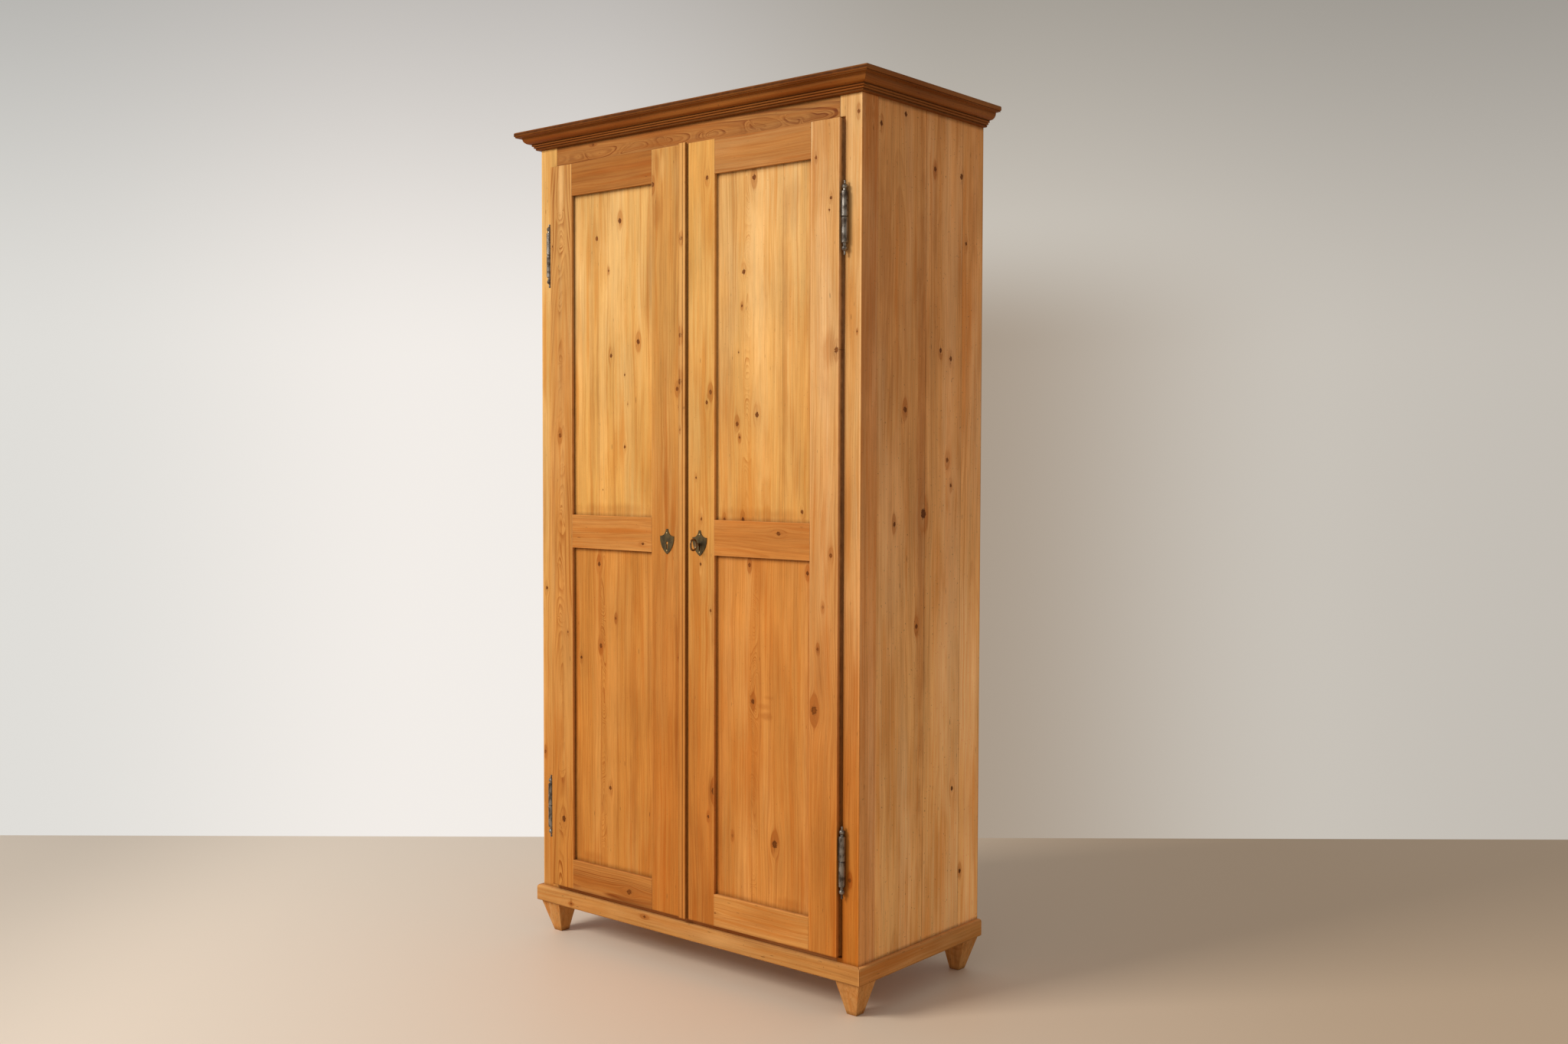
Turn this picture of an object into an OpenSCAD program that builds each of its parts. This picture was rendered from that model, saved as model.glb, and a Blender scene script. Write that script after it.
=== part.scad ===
// Two-door pine wardrobe with frame-and-panel doors, a mitred cornice, a plinth
// moulding, tapered feet, turned fiche hinges, a rim lock and two slide bolts.
// Millimetres. +Z is up, the doors face -Y, and the origin is on the floor at the
// middle of the outline, cornice included.

/* [Carcass] */
// Width across the side panels
body_w = 958; // [880:1:1080]
// Depth from the face of the front posts to the back
body_d = 444; // [420:1:560]
// Height from the top of the feet to the underside of the cornice
body_h = 1804; // [1700:1:1950]
// Face width of a front post
post_w = 56; // [52:1:66]
// Depth of a front post
post_d = 54; // [48:1:66]
// Thickness of the side boards
side_t = 20; // [18:0.5:24]
// Width of the front board of a side panel
side_front_board_w = 171; // [120:1:200]
// Width of the middle board of a side panel
side_middle_board_w = 138; // [100:1:160]
// Thickness of the back boards
back_t = 14; // [10:0.5:18]
// Number of back boards
back_board_count = 5; // [4:1:7]
// Thickness of the floor boards
floor_t = 18; // [14:0.5:24]
// Thickness of the top boards
top_t = 18; // [14:0.5:24]
// Height of the frieze rail's visible face
frieze_h = 43; // [36:1:60]
// Thickness of the frieze rail and of the bottom rail
rail_t = 24; // [22:0.5:26]
// Width of the rebate that the doors close into
rebate_w = 13.5; // [12:0.5:16]
// Depth of the side panels' grooves for the floor and top boards
housing_d = 6; // [4:0.5:8]

/* [Plinth and feet] */
// Height of the plinth moulding
plinth_h = 37; // [30:1:50]
// Thickness of the plinth moulding
plinth_t = 12; // [9:0.5:16]
// Radius of the moulding's rounded upper edge
plinth_round = 6; // [3:0.5:8]
// Height of a foot
foot_h = 75; // [60:1:100]
// Side of the square top of a foot
foot_top = 62; // [54:1:70]
// Side of the square bottom of a foot
foot_bottom = 25; // [24:1:40]
// Overhang of a foot's top past the carcass corner
foot_out = 4; // [0:0.5:8]
// Inset of a foot's bottom from the carcass corner
foot_inset = 18; // [17:0.5:24]
// Radius of the round tenon on top of a foot
foot_tenon_r = 12; // [9:0.5:12.5]
// Length of that tenon
foot_tenon_l = 30; // [20:1:34]

/* [Cornice] */
// Overhang of the cornice at the front and the sides
cornice_out = 46; // [44:0.5:60]
// Height of the fascia at the cornice's outer edge
fascia_h = 10.5; // [9:0.5:14]
// Radius of the quarter round under the soffit
ovolo_r = 13; // [11:0.5:14]
// Radius of the three reeds at the foot of the cornice
reed_r = 2.2; // [1.8:0.1:2.5]
// Width and height of a glue block behind the cornice
glue_block = 24; // [16:1:28]
// Length of such a block
glue_block_l = 60; // [40:1:90]

/* [Doors] */
// Thickness of the door frames
door_t = 24; // [22:0.5:28]
// How far the doors stand proud of the posts
door_proud = 14; // [12.5:0.5:16]
// Gap beside the hinged edge of a door
hinge_gap = 4.5; // [4:0.5:6]
// Gap above and below the doors
end_gap = 3.5; // [2.5:0.5:5]
// Gap between the two doors
meeting_gap = 3.5; // [3:0.5:5]
// Offset of the meeting gap from the middle, to the right
meeting_offset = 14; // [8:0.5:20]
// Height of the doors' lower edge above the plinth
door_sill = 12; // [8:0.5:20]
// Width of the hinge stiles
hinge_stile_w = 73; // [66:1:90]
// Width of the left door's meeting stile, under the strip
left_meeting_stile_w = 109; // [96:1:120]
// Width of the right door's meeting stile
right_meeting_stile_w = 77; // [74:1:90]
// Height of the top rails
top_rail_h = 74; // [60:1:90]
// Height of the middle rails
middle_rail_h = 77; // [60:1:95]
// Height of the bottom rails
bottom_rail_h = 70; // [60:1:95]
// Height of the middle rails' lower edge above the door's lower edge
middle_rail_up = 813; // [700:1:900]
// Thickness of the panels
panel_t = 10; // [8:0.5:11]
// Setback of a panel's face from the face of its frame
panel_recess = 9; // [7:0.5:10]
// Depth of the grooves that hold the panels
groove_d = 10; // [8:0.5:14]
// Thickness of the tenons on the rails
tenon_t = 8; // [6:0.5:9]
// Length of the tenons on the door rails
tenon_l = 42; // [25:1:50]
// Width of the strip beside the meeting gap
strip_w = 21; // [16:0.5:26]
// Thickness of that strip
strip_t = 6; // [4:0.5:8]

/* [Hinges] */
// Radius of a hinge barrel
barrel_r = 7; // [6:0.25:7.5]
// Height of each knuckle
knuckle_h = 50; // [40:1:60]
// Height of the upper finial
top_finial_h = 23; // [18:1:28]
// Height of the lower finial
bottom_finial_h = 27; // [20:1:32]
// Radius of the hinge pin
hinge_pin_r = 3.5; // [3:0.1:4]
// Thickness of a hinge leaf
leaf_t = 2; // [1.5:0.1:2.6]
// Length of a hinge leaf inside the wood
leaf_l = 30; // [22:1:32]
// Height of the left door's lower hinge joint above its lower edge
left_hinge_low = 188; // [140:1:260]
// Height of the right door's lower hinge joint above its lower edge
right_hinge_low = 200; // [140:1:260]
// Depth of the left door's upper hinge joint below its upper edge
left_hinge_high = 205; // [140:1:260]
// Depth of the right door's upper hinge joint below its upper edge
right_hinge_high = 199; // [140:1:260]

/* [Lock] */
// Height of the key above the doors' lower edge
key_up = 835; // [780:1:880]
// Distance from the right door's meeting edge to the key
backset = 35; // [33:0.5:38]
// Width of the lock case
lock_w = 70; // [68:1:72]
// Depth of the lock case behind its plate
lock_d = 14.5; // [13.5:0.5:17]
// Thickness of the lock's sheet steel
lock_sheet = 1.5; // [1:0.1:2]
// Travel of the bolt
bolt_travel = 12; // [9:0.5:12.5]
// Height of the bolt
bolt_h = 15; // [13:0.5:17]
// Thickness of the bolt
bolt_t = 8; // [6:0.5:8.5]
// Radius of the key's shank
key_r = 3; // [2.5:0.1:3.4]
// Radius reached by the key's bit
bit_r = 12.5; // [11.5:0.25:13.5]
// Width of the key's bow
bow_w = 28; // [22:1:34]
// Depth of the key's bow
bow_d = 21; // [17:0.5:22]
// Distance from the door's face to the end of the key's bow
key_out = 31.5; // [28:0.5:34]
// Radius of the bow's rod
bow_rod_r = 2.2; // [1.6:0.1:2.6]
// Height of an escutcheon
escutcheon_h = 56; // [48:1:62]
// Width of an escutcheon
escutcheon_w = 42; // [36:1:46]
// Thickness of an escutcheon
escutcheon_t = 1.6; // [1.2:0.1:2]

/* [Slide bolts] */
// Radius of a slide bolt's rod
rod_r = 4; // [3:0.1:4.5]
// Travel of a slide bolt
rod_travel = 14; // [10:0.5:16]
// Height of a slide bolt's base plate
guide_plate_h = 110; // [90:1:130]
// Width of that base plate
guide_plate_w = 26; // [20:1:32]

/* [Shelf and rail] */
// Height of the hat shelf's underside above the floor
shelf_z = 1552; // [1450:1:1650]
// Thickness of the hat shelf
shelf_t = 18; // [14:0.5:22]
// Height of the hanging rail's axis below the shelf
rail_drop = 72; // [60:1:90]
// Radius of the hanging rail
hanging_rail_r = 14; // [11:0.5:16]
// Thickness of the rail's sockets
socket_t = 18; // [14:0.5:22]
// Wood round the rail in a socket
socket_margin = 16; // [10:1:22]
// Width of a shelf bearer
bearer_w = 22; // [16:1:30]
// Height of a shelf bearer
bearer_h = 28; // [20:1:36]

/* [Fits] */
// Clearance around a glued or housed piece
fit = 0.3; // [0.2:0.05:0.4]
// Gap between neighbouring boards
board_gap = 0.4; // [0.3:0.1:0.8]
// Running clearance of pins and shafts
run = 0.08; // [0.05:0.01:0.1]
// Space between the back of a closed door and its rebate
rebate_play = 1; // [0.5:0.25:2]
// Space between a post and a door that is folded back against it
fold_gap = 2; // [1.5:0.25:3]

/* [Hidden] */
body_x = body_w / 2;
front_y = -(body_d - cornice_out) / 2;
back_y = front_y + body_d;
base_z = foot_h;
top_z = foot_h + body_h;
plinth_top = base_z + plinth_h;
post_x = body_x - post_w;
panel_x = body_x - side_t;

door_x = body_x - post_w + rebate_w - hinge_gap;
door_front = front_y - door_proud;
door_back = door_front + door_t;
door_low = plinth_top + door_sill;
door_high = top_z - frieze_h - end_gap;
left_door_w = door_x + meeting_offset - meeting_gap / 2;
right_door_w = door_x - meeting_offset - meeting_gap / 2;
left_edge_x = meeting_offset - meeting_gap / 2;
right_edge_x = meeting_offset + meeting_gap / 2;
door_mid_y = door_front + panel_recess + panel_t / 2;
rebate_d = door_t - door_proud + rebate_play;

lip_drop = rebate_w;
frieze_low = top_z - frieze_h;
sill_top = door_low - end_gap;
floor_z = sill_top + lip_drop;
carcass_tenon_l = 24;
side_tongue_t = 8;
side_tongue_l = 10;
tenon_shoulder = 12;
arris_r = 2;
back_rebate = 10;
board_front_y = front_y + rail_t + fit;
inner_back_y = back_y - back_t - fit;

hinge_out = barrel_r + 3;
hinge_off = (door_proud + fold_gap) / 2;
axis_x = door_x + hinge_out;
axis_y = front_y - hinge_off;
washer_gap = 0.3;
leaf_margin = 2;

key_x = right_edge_x + backset;
key_z = door_low + key_up;
plate_y = door_back;
case_y = plate_y + lock_sheet;
case_back_y = case_y + lock_d;
case_x0 = right_edge_x + 1;
case_x1 = case_x0 + lock_w;
case_low = key_z - bit_r - 8;
case_high = key_z + 34;
bolt_low = key_z + 9;
bolt_y = case_y + 1.5;
bolt_tail_x = case_x1 - 5;
bolt_slot_r = 2.2;
bit_t = 2.4;
bit_w = bolt_t - 1;
notch_high = key_z + bit_r + 0.8;
notch_reach = bit_r - 1;
bow_end_y = door_front - key_out;
escutcheon_rise = 3;
keeper_w = 18;
keeper_wall = 2;

rod_x = left_edge_x - 54;
rod_y = door_back + lock_sheet + rod_r + 2;
rod_l = 150;
rod_rest_gap = 1.5;
guide_block_h = 10;
rod_top_z = frieze_low - lip_drop - rod_rest_gap;
rod_low_z = floor_z + rod_rest_gap;

shelf_y = front_y + post_d + 6;
hanging_z = shelf_z - rail_drop;
hanging_y = (front_y + post_d + inner_back_y) / 2;

pine = "#d99a4e";
pale_pine = "#e2ac66";
panel_pine = "#dfa252";
side_pine = "#c58742";
inner_pine = "#d9b27c";
cornice_pine = "#7c3a14";
old_brass = "#5b4a2c";
iron = "#4a4643";
steel = "#77736c";

// Box between two corners
module block(low, high) {
  translate(low) cube(high - low);
}

// Copy on the left of what is drawn on the right
module left_hand() {
  mirror([1, 0, 0]) children();
}

// Points of an arc, in degrees
function arc(centre, r, from, to, steps = 6) =
  [for (i = [0:steps]) let (a = from + (to - from) * i / steps) centre + r * [cos(a), sin(a)]];

// Board whose front corners are rounded, drawn from its plan at z = 0
module rounded_front_board(x0, x1, y0, y1, h, r) {
  linear_extrude(h) {
    translate([x0, y0 + r]) square([x1 - x0, y1 - y0 - r]);
    translate([x0 + r, y0]) square([x1 - x0 - 2 * r, y1 - y0]);
    for (x = [x0 + r, x1 - r]) translate([x, y0 + r]) circle(r, $fn = 32);
  }
}

// Carcass

// Hinge joints on the right or the left, as heights above the floor
function hinge_low_z(left) = door_low + (left ? left_hinge_low : right_hinge_low);
function hinge_high_z(left) = door_high - (left ? left_hinge_high : right_hinge_high);

// Slot in the face of a post for one hinge leaf
module frame_leaf_slot(z) {
  block([axis_x - leaf_t / 2 - fit, front_y - 1, z - knuckle_h + leaf_margin - fit],
        [axis_x + leaf_t / 2 + fit, front_y + leaf_l + fit, z - leaf_margin + fit]);
}

// Mortise in a post for the tenon of a rail
module post_mortise(z0, z1) {
  block([post_x - 1, front_y + rail_t / 2 - tenon_t / 2 - fit, z0 - fit],
        [post_x + carcass_tenon_l + 1, front_y + rail_t / 2 + tenon_t / 2 + fit, z1 + fit]);
}

module front_post(left) {
  difference() {
    translate([0, 0, base_z]) linear_extrude(body_h) {
      translate([post_x, front_y]) square([post_w - arris_r, post_d]);
      translate([body_x - 2 * arris_r, front_y + arris_r]) square([2 * arris_r, post_d - arris_r]);
      translate([body_x - arris_r, front_y + arris_r]) circle(arris_r, $fn = 32);
    }
    block([post_x - 1, front_y - 1, sill_top],
          [post_x + rebate_w, front_y + rebate_d, frieze_low]);
    post_mortise(frieze_tenon_low, frieze_tenon_high);
    post_mortise(sill_tenon_low, sill_tenon_high);
    for (z = [hinge_low_z(left), hinge_high_z(left)]) frame_leaf_slot(z);
    block([side_tongue_x - fit, front_y + post_d - side_tongue_l - fit, base_z - 1],
          [side_tongue_x + side_tongue_t + fit, front_y + post_d + 1, top_z + 1]);
    translate([peg_x, front_foot_y, base_z - 1])
      cylinder(r = foot_tenon_r + fit, h = foot_tenon_l + 2, $fn = 48);
  }
}

side_tongue_x = body_x - side_t / 2 - side_tongue_t / 2;
frieze_tenon_low = frieze_low + 4;
frieze_tenon_high = top_z - tenon_shoulder;
sill_tenon_low = base_z + tenon_shoulder;
sill_tenon_high = sill_top - 4;
foot_x = body_x - foot_inset - foot_bottom / 2;
front_foot_y = front_y + foot_inset + foot_bottom / 2;
rear_foot_y = back_y - foot_out - foot_inset - foot_bottom / 2;
peg_x = panel_x - foot_tenon_r - 1.5;

module left_front_post() {
  color(pine) left_hand() front_post(true);
}

module right_front_post() {
  color(pine) front_post(false);
}

// Hole in a rail's lip for the rod of a slide bolt
module rod_hole(z) {
  translate([rod_x, rod_y, z]) cylinder(r = rod_r + 0.6, h = rod_travel + 6, $fn = 40);
}

// Tenons of the frieze rail and the bottom rail
module rail_tenons(z0, z1) {
  block([-post_x - carcass_tenon_l, front_y + rail_t / 2 - tenon_t / 2, z0],
        [post_x + carcass_tenon_l, front_y + rail_t / 2 + tenon_t / 2, z1]);
}

module frieze_rail() {
  color(pine) difference() {
    union() {
      block([-post_x, front_y, frieze_low], [post_x, front_y + rail_t, top_z]);
      block([-post_x, front_y + rebate_d, frieze_low - lip_drop], [post_x, front_y + rail_t, top_z]);
      rail_tenons(frieze_tenon_low, frieze_tenon_high);
    }
    rod_hole(frieze_low - lip_drop - 1);
  }
}

module bottom_rail() {
  color(pine) difference() {
    union() {
      block([-post_x, front_y, base_z], [post_x, front_y + rail_t, sill_top]);
      block([-post_x, front_y + rebate_d, base_z], [post_x, front_y + rail_t, floor_z]);
      rail_tenons(sill_tenon_low, sill_tenon_high);
    }
    rod_hole(floor_z + 1 - rod_travel - 6);
  }
}

// Seams of a side panel, from front to back
side_seams = [
  front_y + post_d,
  front_y + post_d + side_front_board_w,
  front_y + post_d + side_front_board_w + side_middle_board_w,
  back_y,
];

// Grooves in the inner face of a side panel for the floor and the top
module side_housings() {
  end = [panel_x + housing_d + fit, back_y + 1, 0];
  block([panel_x - 1, front_y, floor_z - floor_t - fit], end + [0, 0, floor_z + fit]);
  block([panel_x - 1, front_y, top_board_z - fit], end + [0, 0, top_board_z + top_t + fit]);
}

top_board_z = top_z - top_t - 6;

module side_panel() {
  difference() {
    for (i = [0:2])
      block([panel_x, side_seams[i] + (i == 0 ? 0 : board_gap / 2), base_z],
            [body_x, side_seams[i + 1] - (i == 2 ? 0 : board_gap / 2), top_z]);
    side_housings();
    block([panel_x - 1, inner_back_y, base_z + plinth_h - fit],
          [panel_x + back_rebate + fit, back_y + 1, top_z + 1]);
  }
  block([side_tongue_x, front_y + post_d - side_tongue_l, base_z],
        [side_tongue_x + side_tongue_t, front_y + post_d + 1, top_z]);
}

module left_side_panel() {
  color(side_pine) left_hand() side_panel();
}

module right_side_panel() {
  color(side_pine) side_panel();
}

module back_boards() {
  span = 2 * (panel_x + back_rebate);
  pitch = span / back_board_count;
  color(inner_pine) for (i = [0:back_board_count - 1])
    block([-span / 2 + i * pitch + board_gap / 2, back_y - back_t, base_z + plinth_h],
          [-span / 2 + (i + 1) * pitch - board_gap / 2, back_y, top_z]);
}

// Boards that run between the side panels, notched round the front posts
module cross_boards(z, t, rows) {
  depth = inner_back_y - board_front_y;
  pitch = depth / rows;
  reach = panel_x + housing_d;
  difference() {
    for (i = [0:rows - 1])
      block([-reach, board_front_y + i * pitch + board_gap / 2, z],
            [reach, board_front_y + (i + 1) * pitch - board_gap / 2, z + t]);
    for (s = [0, 1]) mirror([s, 0, 0])
      block([post_x - fit, board_front_y - 1, z - 1], [body_x, front_y + post_d + fit, z + t + 1]);
  }
}

module floor_boards() {
  color(inner_pine) cross_boards(floor_z - floor_t, floor_t, 3);
}

module top_boards() {
  color(inner_pine) cross_boards(top_board_z, top_t, 3);
}

// Cornice

// Outline of the cornice: x is the reach past the carcass, y the height above it
soffit_z = 6 * reed_r + 0.8 + ovolo_r;
cornice_h = soffit_z + 3.5 + fascia_h;
reed_x = cornice_out - 38.5;
reed_step = 3.4;
ovolo_x = cornice_out - 14 - ovolo_r;
nose_r = 3;

function cornice_outline(seat) = concat(
  [[-seat, 0], [reed_x - 1, 0]],
  [for (k = [0:2]) each arc([reed_x + k * reed_step, (2 * k + 1) * reed_r], reed_r, -80, 80)],
  [[ovolo_x - 1.5, 6 * reed_r], [ovolo_x - 1.5, 6 * reed_r + 0.8]],
  arc([ovolo_x, soffit_z], ovolo_r, -90, 0, 9),
  [[ovolo_x + ovolo_r, soffit_z + 1.2], [cornice_out - 4, soffit_z + 2]],
  arc([cornice_out - 3, soffit_z + 2.4], 0.9, -140, 60, 6),
  [[cornice_out - 3.4, soffit_z + 3.6]],
  arc([cornice_out - nose_r, soffit_z + 3.5 + nose_r], nose_r, -65, 0, 4),
  arc([cornice_out - nose_r, cornice_h - nose_r], nose_r, 0, 80, 4),
  [[-seat, cornice_h]]
);

// Everything on the front side of the two mitre planes, which meet over the middle
module mitre_front(margin) {
  far = 3 * cornice_out;
  translate([0, 0, base_z - 10]) linear_extrude(body_h + 2 * cornice_out + 20)
    polygon([[-body_x - far, front_y - far - margin], [body_x + far, front_y - far - margin],
             [0, front_y + body_x - margin]]);
}

mitre_gap = 0.2;

// Moulding with the given outline along the right side, from the back to the mitre
module side_moulding(outline, z, reach) {
  difference() {
    translate([body_x, back_y, z]) rotate([90, 0, 0]) linear_extrude(body_d + 2 * reach) polygon(outline);
    mitre_front(-mitre_gap);
  }
}

// Moulding with the given outline across the front, mitred at both ends
module front_moulding(outline, z, reach) {
  intersection() {
    translate([-body_x - 2 * reach, front_y, z]) rotate([90, 0, 90])
      linear_extrude(body_w + 4 * reach) mirror([1, 0]) polygon(outline);
    mitre_front(mitre_gap);
  }
}

module cornice_front() {
  color(cornice_pine) front_moulding(cornice_outline(rail_t), top_z, cornice_out);
}

module cornice_left() {
  color(cornice_pine) left_hand() side_moulding(cornice_outline(side_t), top_z, cornice_out);
}

module cornice_right() {
  color(cornice_pine) side_moulding(cornice_outline(side_t), top_z, cornice_out);
}

// Triangular blocks in the corner between the cornice and the top boards
module cornice_glue_blocks() {
  floor_level = top_board_z + top_t;
  side_places = [0.3, 0.75];
  front_places = [-0.75, -0.25, 0.25, 0.75];
  color(inner_pine) {
    for (s = [0, 1], k = side_places) mirror([s, 0, 0])
      translate([panel_x, front_y + body_d * k, floor_level]) rotate([90, 0, 0])
        linear_extrude(glue_block_l) polygon([[0, 0], [-glue_block, 0], [0, glue_block]]);
    for (k = front_places)
      translate([body_x * k - glue_block_l / 2, front_y + rail_t, floor_level]) rotate([90, 0, 90])
        linear_extrude(glue_block_l) polygon([[0, 0], [glue_block, 0], [0, glue_block]]);
  }
}

// Plinth and feet

// Section of the plinth moulding: x is the thickness, y the height
plinth_outline = concat(
  [[0, 0], [plinth_t, 0]],
  arc([plinth_t - plinth_round, plinth_h - plinth_round], plinth_round, 0, 75, 6),
  [[0, plinth_h]]
);

module plinth_front() {
  color(pale_pine) front_moulding(plinth_outline, base_z, plinth_t);
}

module plinth_left() {
  color(pale_pine) left_hand() side_moulding(plinth_outline, base_z, plinth_t);
}

module plinth_right() {
  color(pale_pine) side_moulding(plinth_outline, base_z, plinth_t);
}

// Square foot that tapers on its four faces, with its corner towards +X and -Y
module foot() {
  outer = foot_inset + foot_out;
  inner = foot_top - foot_bottom - outer;
  half = foot_bottom / 2;
  face = [[-half, 0], [half, 0], [half + outer, foot_h], [-half - inner, foot_h]];
  intersection() {
    translate([0, foot_top, 0]) rotate([90, 0, 0]) linear_extrude(2 * foot_top) polygon(face);
    translate([-foot_top, 0, 0]) rotate([90, 0, 90]) linear_extrude(2 * foot_top)
      mirror([1, 0]) polygon(face);
  }
  translate([peg_x - foot_x, 0, foot_h - 1]) cylinder(r = foot_tenon_r, h = foot_tenon_l + 1, $fn = 48);
}

module front_right_foot() {
  color(pale_pine) translate([foot_x, front_foot_y, 0]) foot();
}

module front_left_foot() {
  color(pale_pine) left_hand() translate([foot_x, front_foot_y, 0]) foot();
}

module rear_right_foot() {
  color(pale_pine) translate([foot_x, rear_foot_y, 0]) mirror([0, 1, 0]) foot();
}

module rear_left_foot() {
  color(pale_pine) left_hand() translate([foot_x, rear_foot_y, 0]) mirror([0, 1, 0]) foot();
}

// Corner blocks that carry the rear feet, between the side panels and under the floor
module rear_foot_blocks() {
  size = foot_top - 6;
  color(inner_pine) for (s = [0, 1]) mirror([s, 0, 0]) difference() {
    block([panel_x - size, back_y - size, base_z], [panel_x, back_y, base_z + plinth_h - fit]);
    translate([peg_x, rear_foot_y, base_z - 1])
      cylinder(r = foot_tenon_r + fit, h = foot_tenon_l + 2, $fn = 48);
  }
}

// Shelf and hanging rail

module hat_shelf() {
  depth = inner_back_y - shelf_y;
  color(inner_pine) for (i = [0, 1])
    block([-panel_x + fit, shelf_y + i * depth / 2 + board_gap / 2, shelf_z],
          [panel_x - fit, shelf_y + (i + 1) * depth / 2 - board_gap / 2, shelf_z + shelf_t]);
}

module shelf_bearers() {
  color(inner_pine) for (s = [0, 1]) mirror([s, 0, 0])
    block([panel_x - bearer_w, shelf_y, shelf_z - bearer_h], [panel_x, inner_back_y, shelf_z]);
}

module hanging_rail() {
  color(pine) translate([-panel_x + 2, hanging_y, hanging_z]) rotate([0, 90, 0])
    cylinder(r = hanging_rail_r, h = 2 * panel_x - 4, $fn = 64);
}

// Blocks on the side panels with a notch, open at the top, for the hanging rail
module rail_sockets() {
  size = hanging_rail_r + socket_margin;
  notch_r = hanging_rail_r + fit;
  color(inner_pine) for (s = [0, 1]) mirror([s, 0, 0]) difference() {
    block([panel_x - socket_t, hanging_y - size, hanging_z - size],
          [panel_x, hanging_y + size, hanging_z + size]);
    translate([panel_x - socket_t - 1, hanging_y, hanging_z]) rotate([0, 90, 0])
      cylinder(r = notch_r, h = socket_t + 2, $fn = 64);
    block([panel_x - socket_t - 1, hanging_y - notch_r, hanging_z],
          [panel_x + 1, hanging_y + notch_r, hanging_z + size + 1]);
  }
}

// Hinges

// Half outline of a turned finial of a given height, from its seat to its tip
function finial(h) = concat(
  [[0, -1], [barrel_r, -1], [barrel_r, 1.2], [barrel_r - 1, 2.4], [barrel_r - 2.8, 3], [barrel_r - 3, 4.6]],
  arc([0, h * 0.47], barrel_r - 0.8, -52, 55, 8),
  [[2, h * 0.47 + barrel_r * 0.86], [2, h - 3.2]],
  [[2.6, h - 2.6], [2.2, h - 0.8], [0.8, h], [0, h]]
);

// Knuckle, leaf and pin that stay with the post, with the joint at the origin
module hinge_frame_leaf() {
  color(iron) {
    rotate_extrude($fn = 48) polygon([
      [0, -knuckle_h], [barrel_r, -knuckle_h], [barrel_r, -1.2], [barrel_r - 1.2, 0], [hinge_pin_r, 0],
      [hinge_pin_r, knuckle_h - 8], [hinge_pin_r - 1, knuckle_h - 7], [0, knuckle_h - 7],
    ]);
    translate([0, 0, -knuckle_h]) mirror([0, 0, 1])
      rotate_extrude($fn = 48) polygon(finial(bottom_finial_h));
    block([-leaf_t / 2, 0, -knuckle_h + leaf_margin], [leaf_t / 2, hinge_off + leaf_l, -leaf_margin]);
  }
}

// Knuckle and leaf that turn with the door, which lies towards -X
module hinge_door_leaf() {
  color(iron) difference() {
    union() {
      translate([0, 0, washer_gap]) rotate_extrude($fn = 48) polygon([
        [0, 0], [barrel_r - 1.2, 0], [barrel_r, 1.2], [barrel_r, knuckle_h], [0, knuckle_h],
      ]);
      translate([0, 0, knuckle_h]) rotate_extrude($fn = 48) polygon(finial(top_finial_h));
      block([-hinge_out - leaf_l, -leaf_t / 2, leaf_margin], [0, leaf_t / 2, knuckle_h - leaf_margin]);
    }
    translate([0, 0, -1]) cylinder(r = hinge_pin_r + run, h = knuckle_h - 5, $fn = 48);
  }
}

module left_upper_hinge_frame_leaf() {
  left_hand() translate([axis_x, axis_y, hinge_high_z(true)]) hinge_frame_leaf();
}

module left_lower_hinge_frame_leaf() {
  left_hand() translate([axis_x, axis_y, hinge_low_z(true)]) hinge_frame_leaf();
}

module right_upper_hinge_frame_leaf() {
  translate([axis_x, axis_y, hinge_high_z(false)]) hinge_frame_leaf();
}

module right_lower_hinge_frame_leaf() {
  translate([axis_x, axis_y, hinge_low_z(false)]) hinge_frame_leaf();
}

module left_upper_hinge_door_leaf() {
  left_hand() translate([axis_x, axis_y, hinge_high_z(true)]) hinge_door_leaf();
}

module left_lower_hinge_door_leaf() {
  left_hand() translate([axis_x, axis_y, hinge_low_z(true)]) hinge_door_leaf();
}

module right_upper_hinge_door_leaf() {
  translate([axis_x, axis_y, hinge_high_z(false)]) hinge_door_leaf();
}

module right_lower_hinge_door_leaf() {
  translate([axis_x, axis_y, hinge_low_z(false)]) hinge_door_leaf();
}

// Doors: u runs from the hinged edge to the meeting edge

// Places a piece drawn in u on the left or on the right door
module on_door(left) {
  if (left) translate([-door_x, 0, 0]) children();
  else mirror([1, 0, 0]) translate([-door_x, 0, 0]) children();
}

left_meeting_tenon_l = tenon_l;
tenon_to_key = 4;
right_meeting_tenon_l = right_meeting_stile_w - backset - key_r - tenon_to_key;
rail_low = [door_low, door_low + middle_rail_up, door_high - top_rail_h];
rail_high = [door_low + bottom_rail_h, door_low + middle_rail_up + middle_rail_h, door_high];
tenon_low = [rail_low[0] + tenon_shoulder, rail_low[1] + groove_d + fit, rail_low[2] + groove_d + fit];
tenon_high = [rail_high[0] - groove_d - fit, rail_high[1] - groove_d - fit, rail_high[2] - tenon_shoulder];

// Groove along a stile that opens at u on the side given by dir
module stile_groove(u, dir) {
  block([min(u - dir, u + dir * (groove_d + fit)), door_mid_y - panel_t / 2 - fit, rail_high[0] - groove_d],
        [max(u - dir, u + dir * (groove_d + fit)), door_mid_y + panel_t / 2 + fit, rail_low[2] + groove_d]);
}

// Mortises in a stile for the three rails' tenons of length l
module stile_mortises(u, dir, l) {
  for (i = [0:2])
    block([min(u - dir, u + dir * (l + 1)), door_mid_y - tenon_t / 2 - fit, tenon_low[i] - fit],
          [max(u - dir, u + dir * (l + 1)), door_mid_y + tenon_t / 2 + fit, tenon_high[i] + fit]);
}

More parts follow.
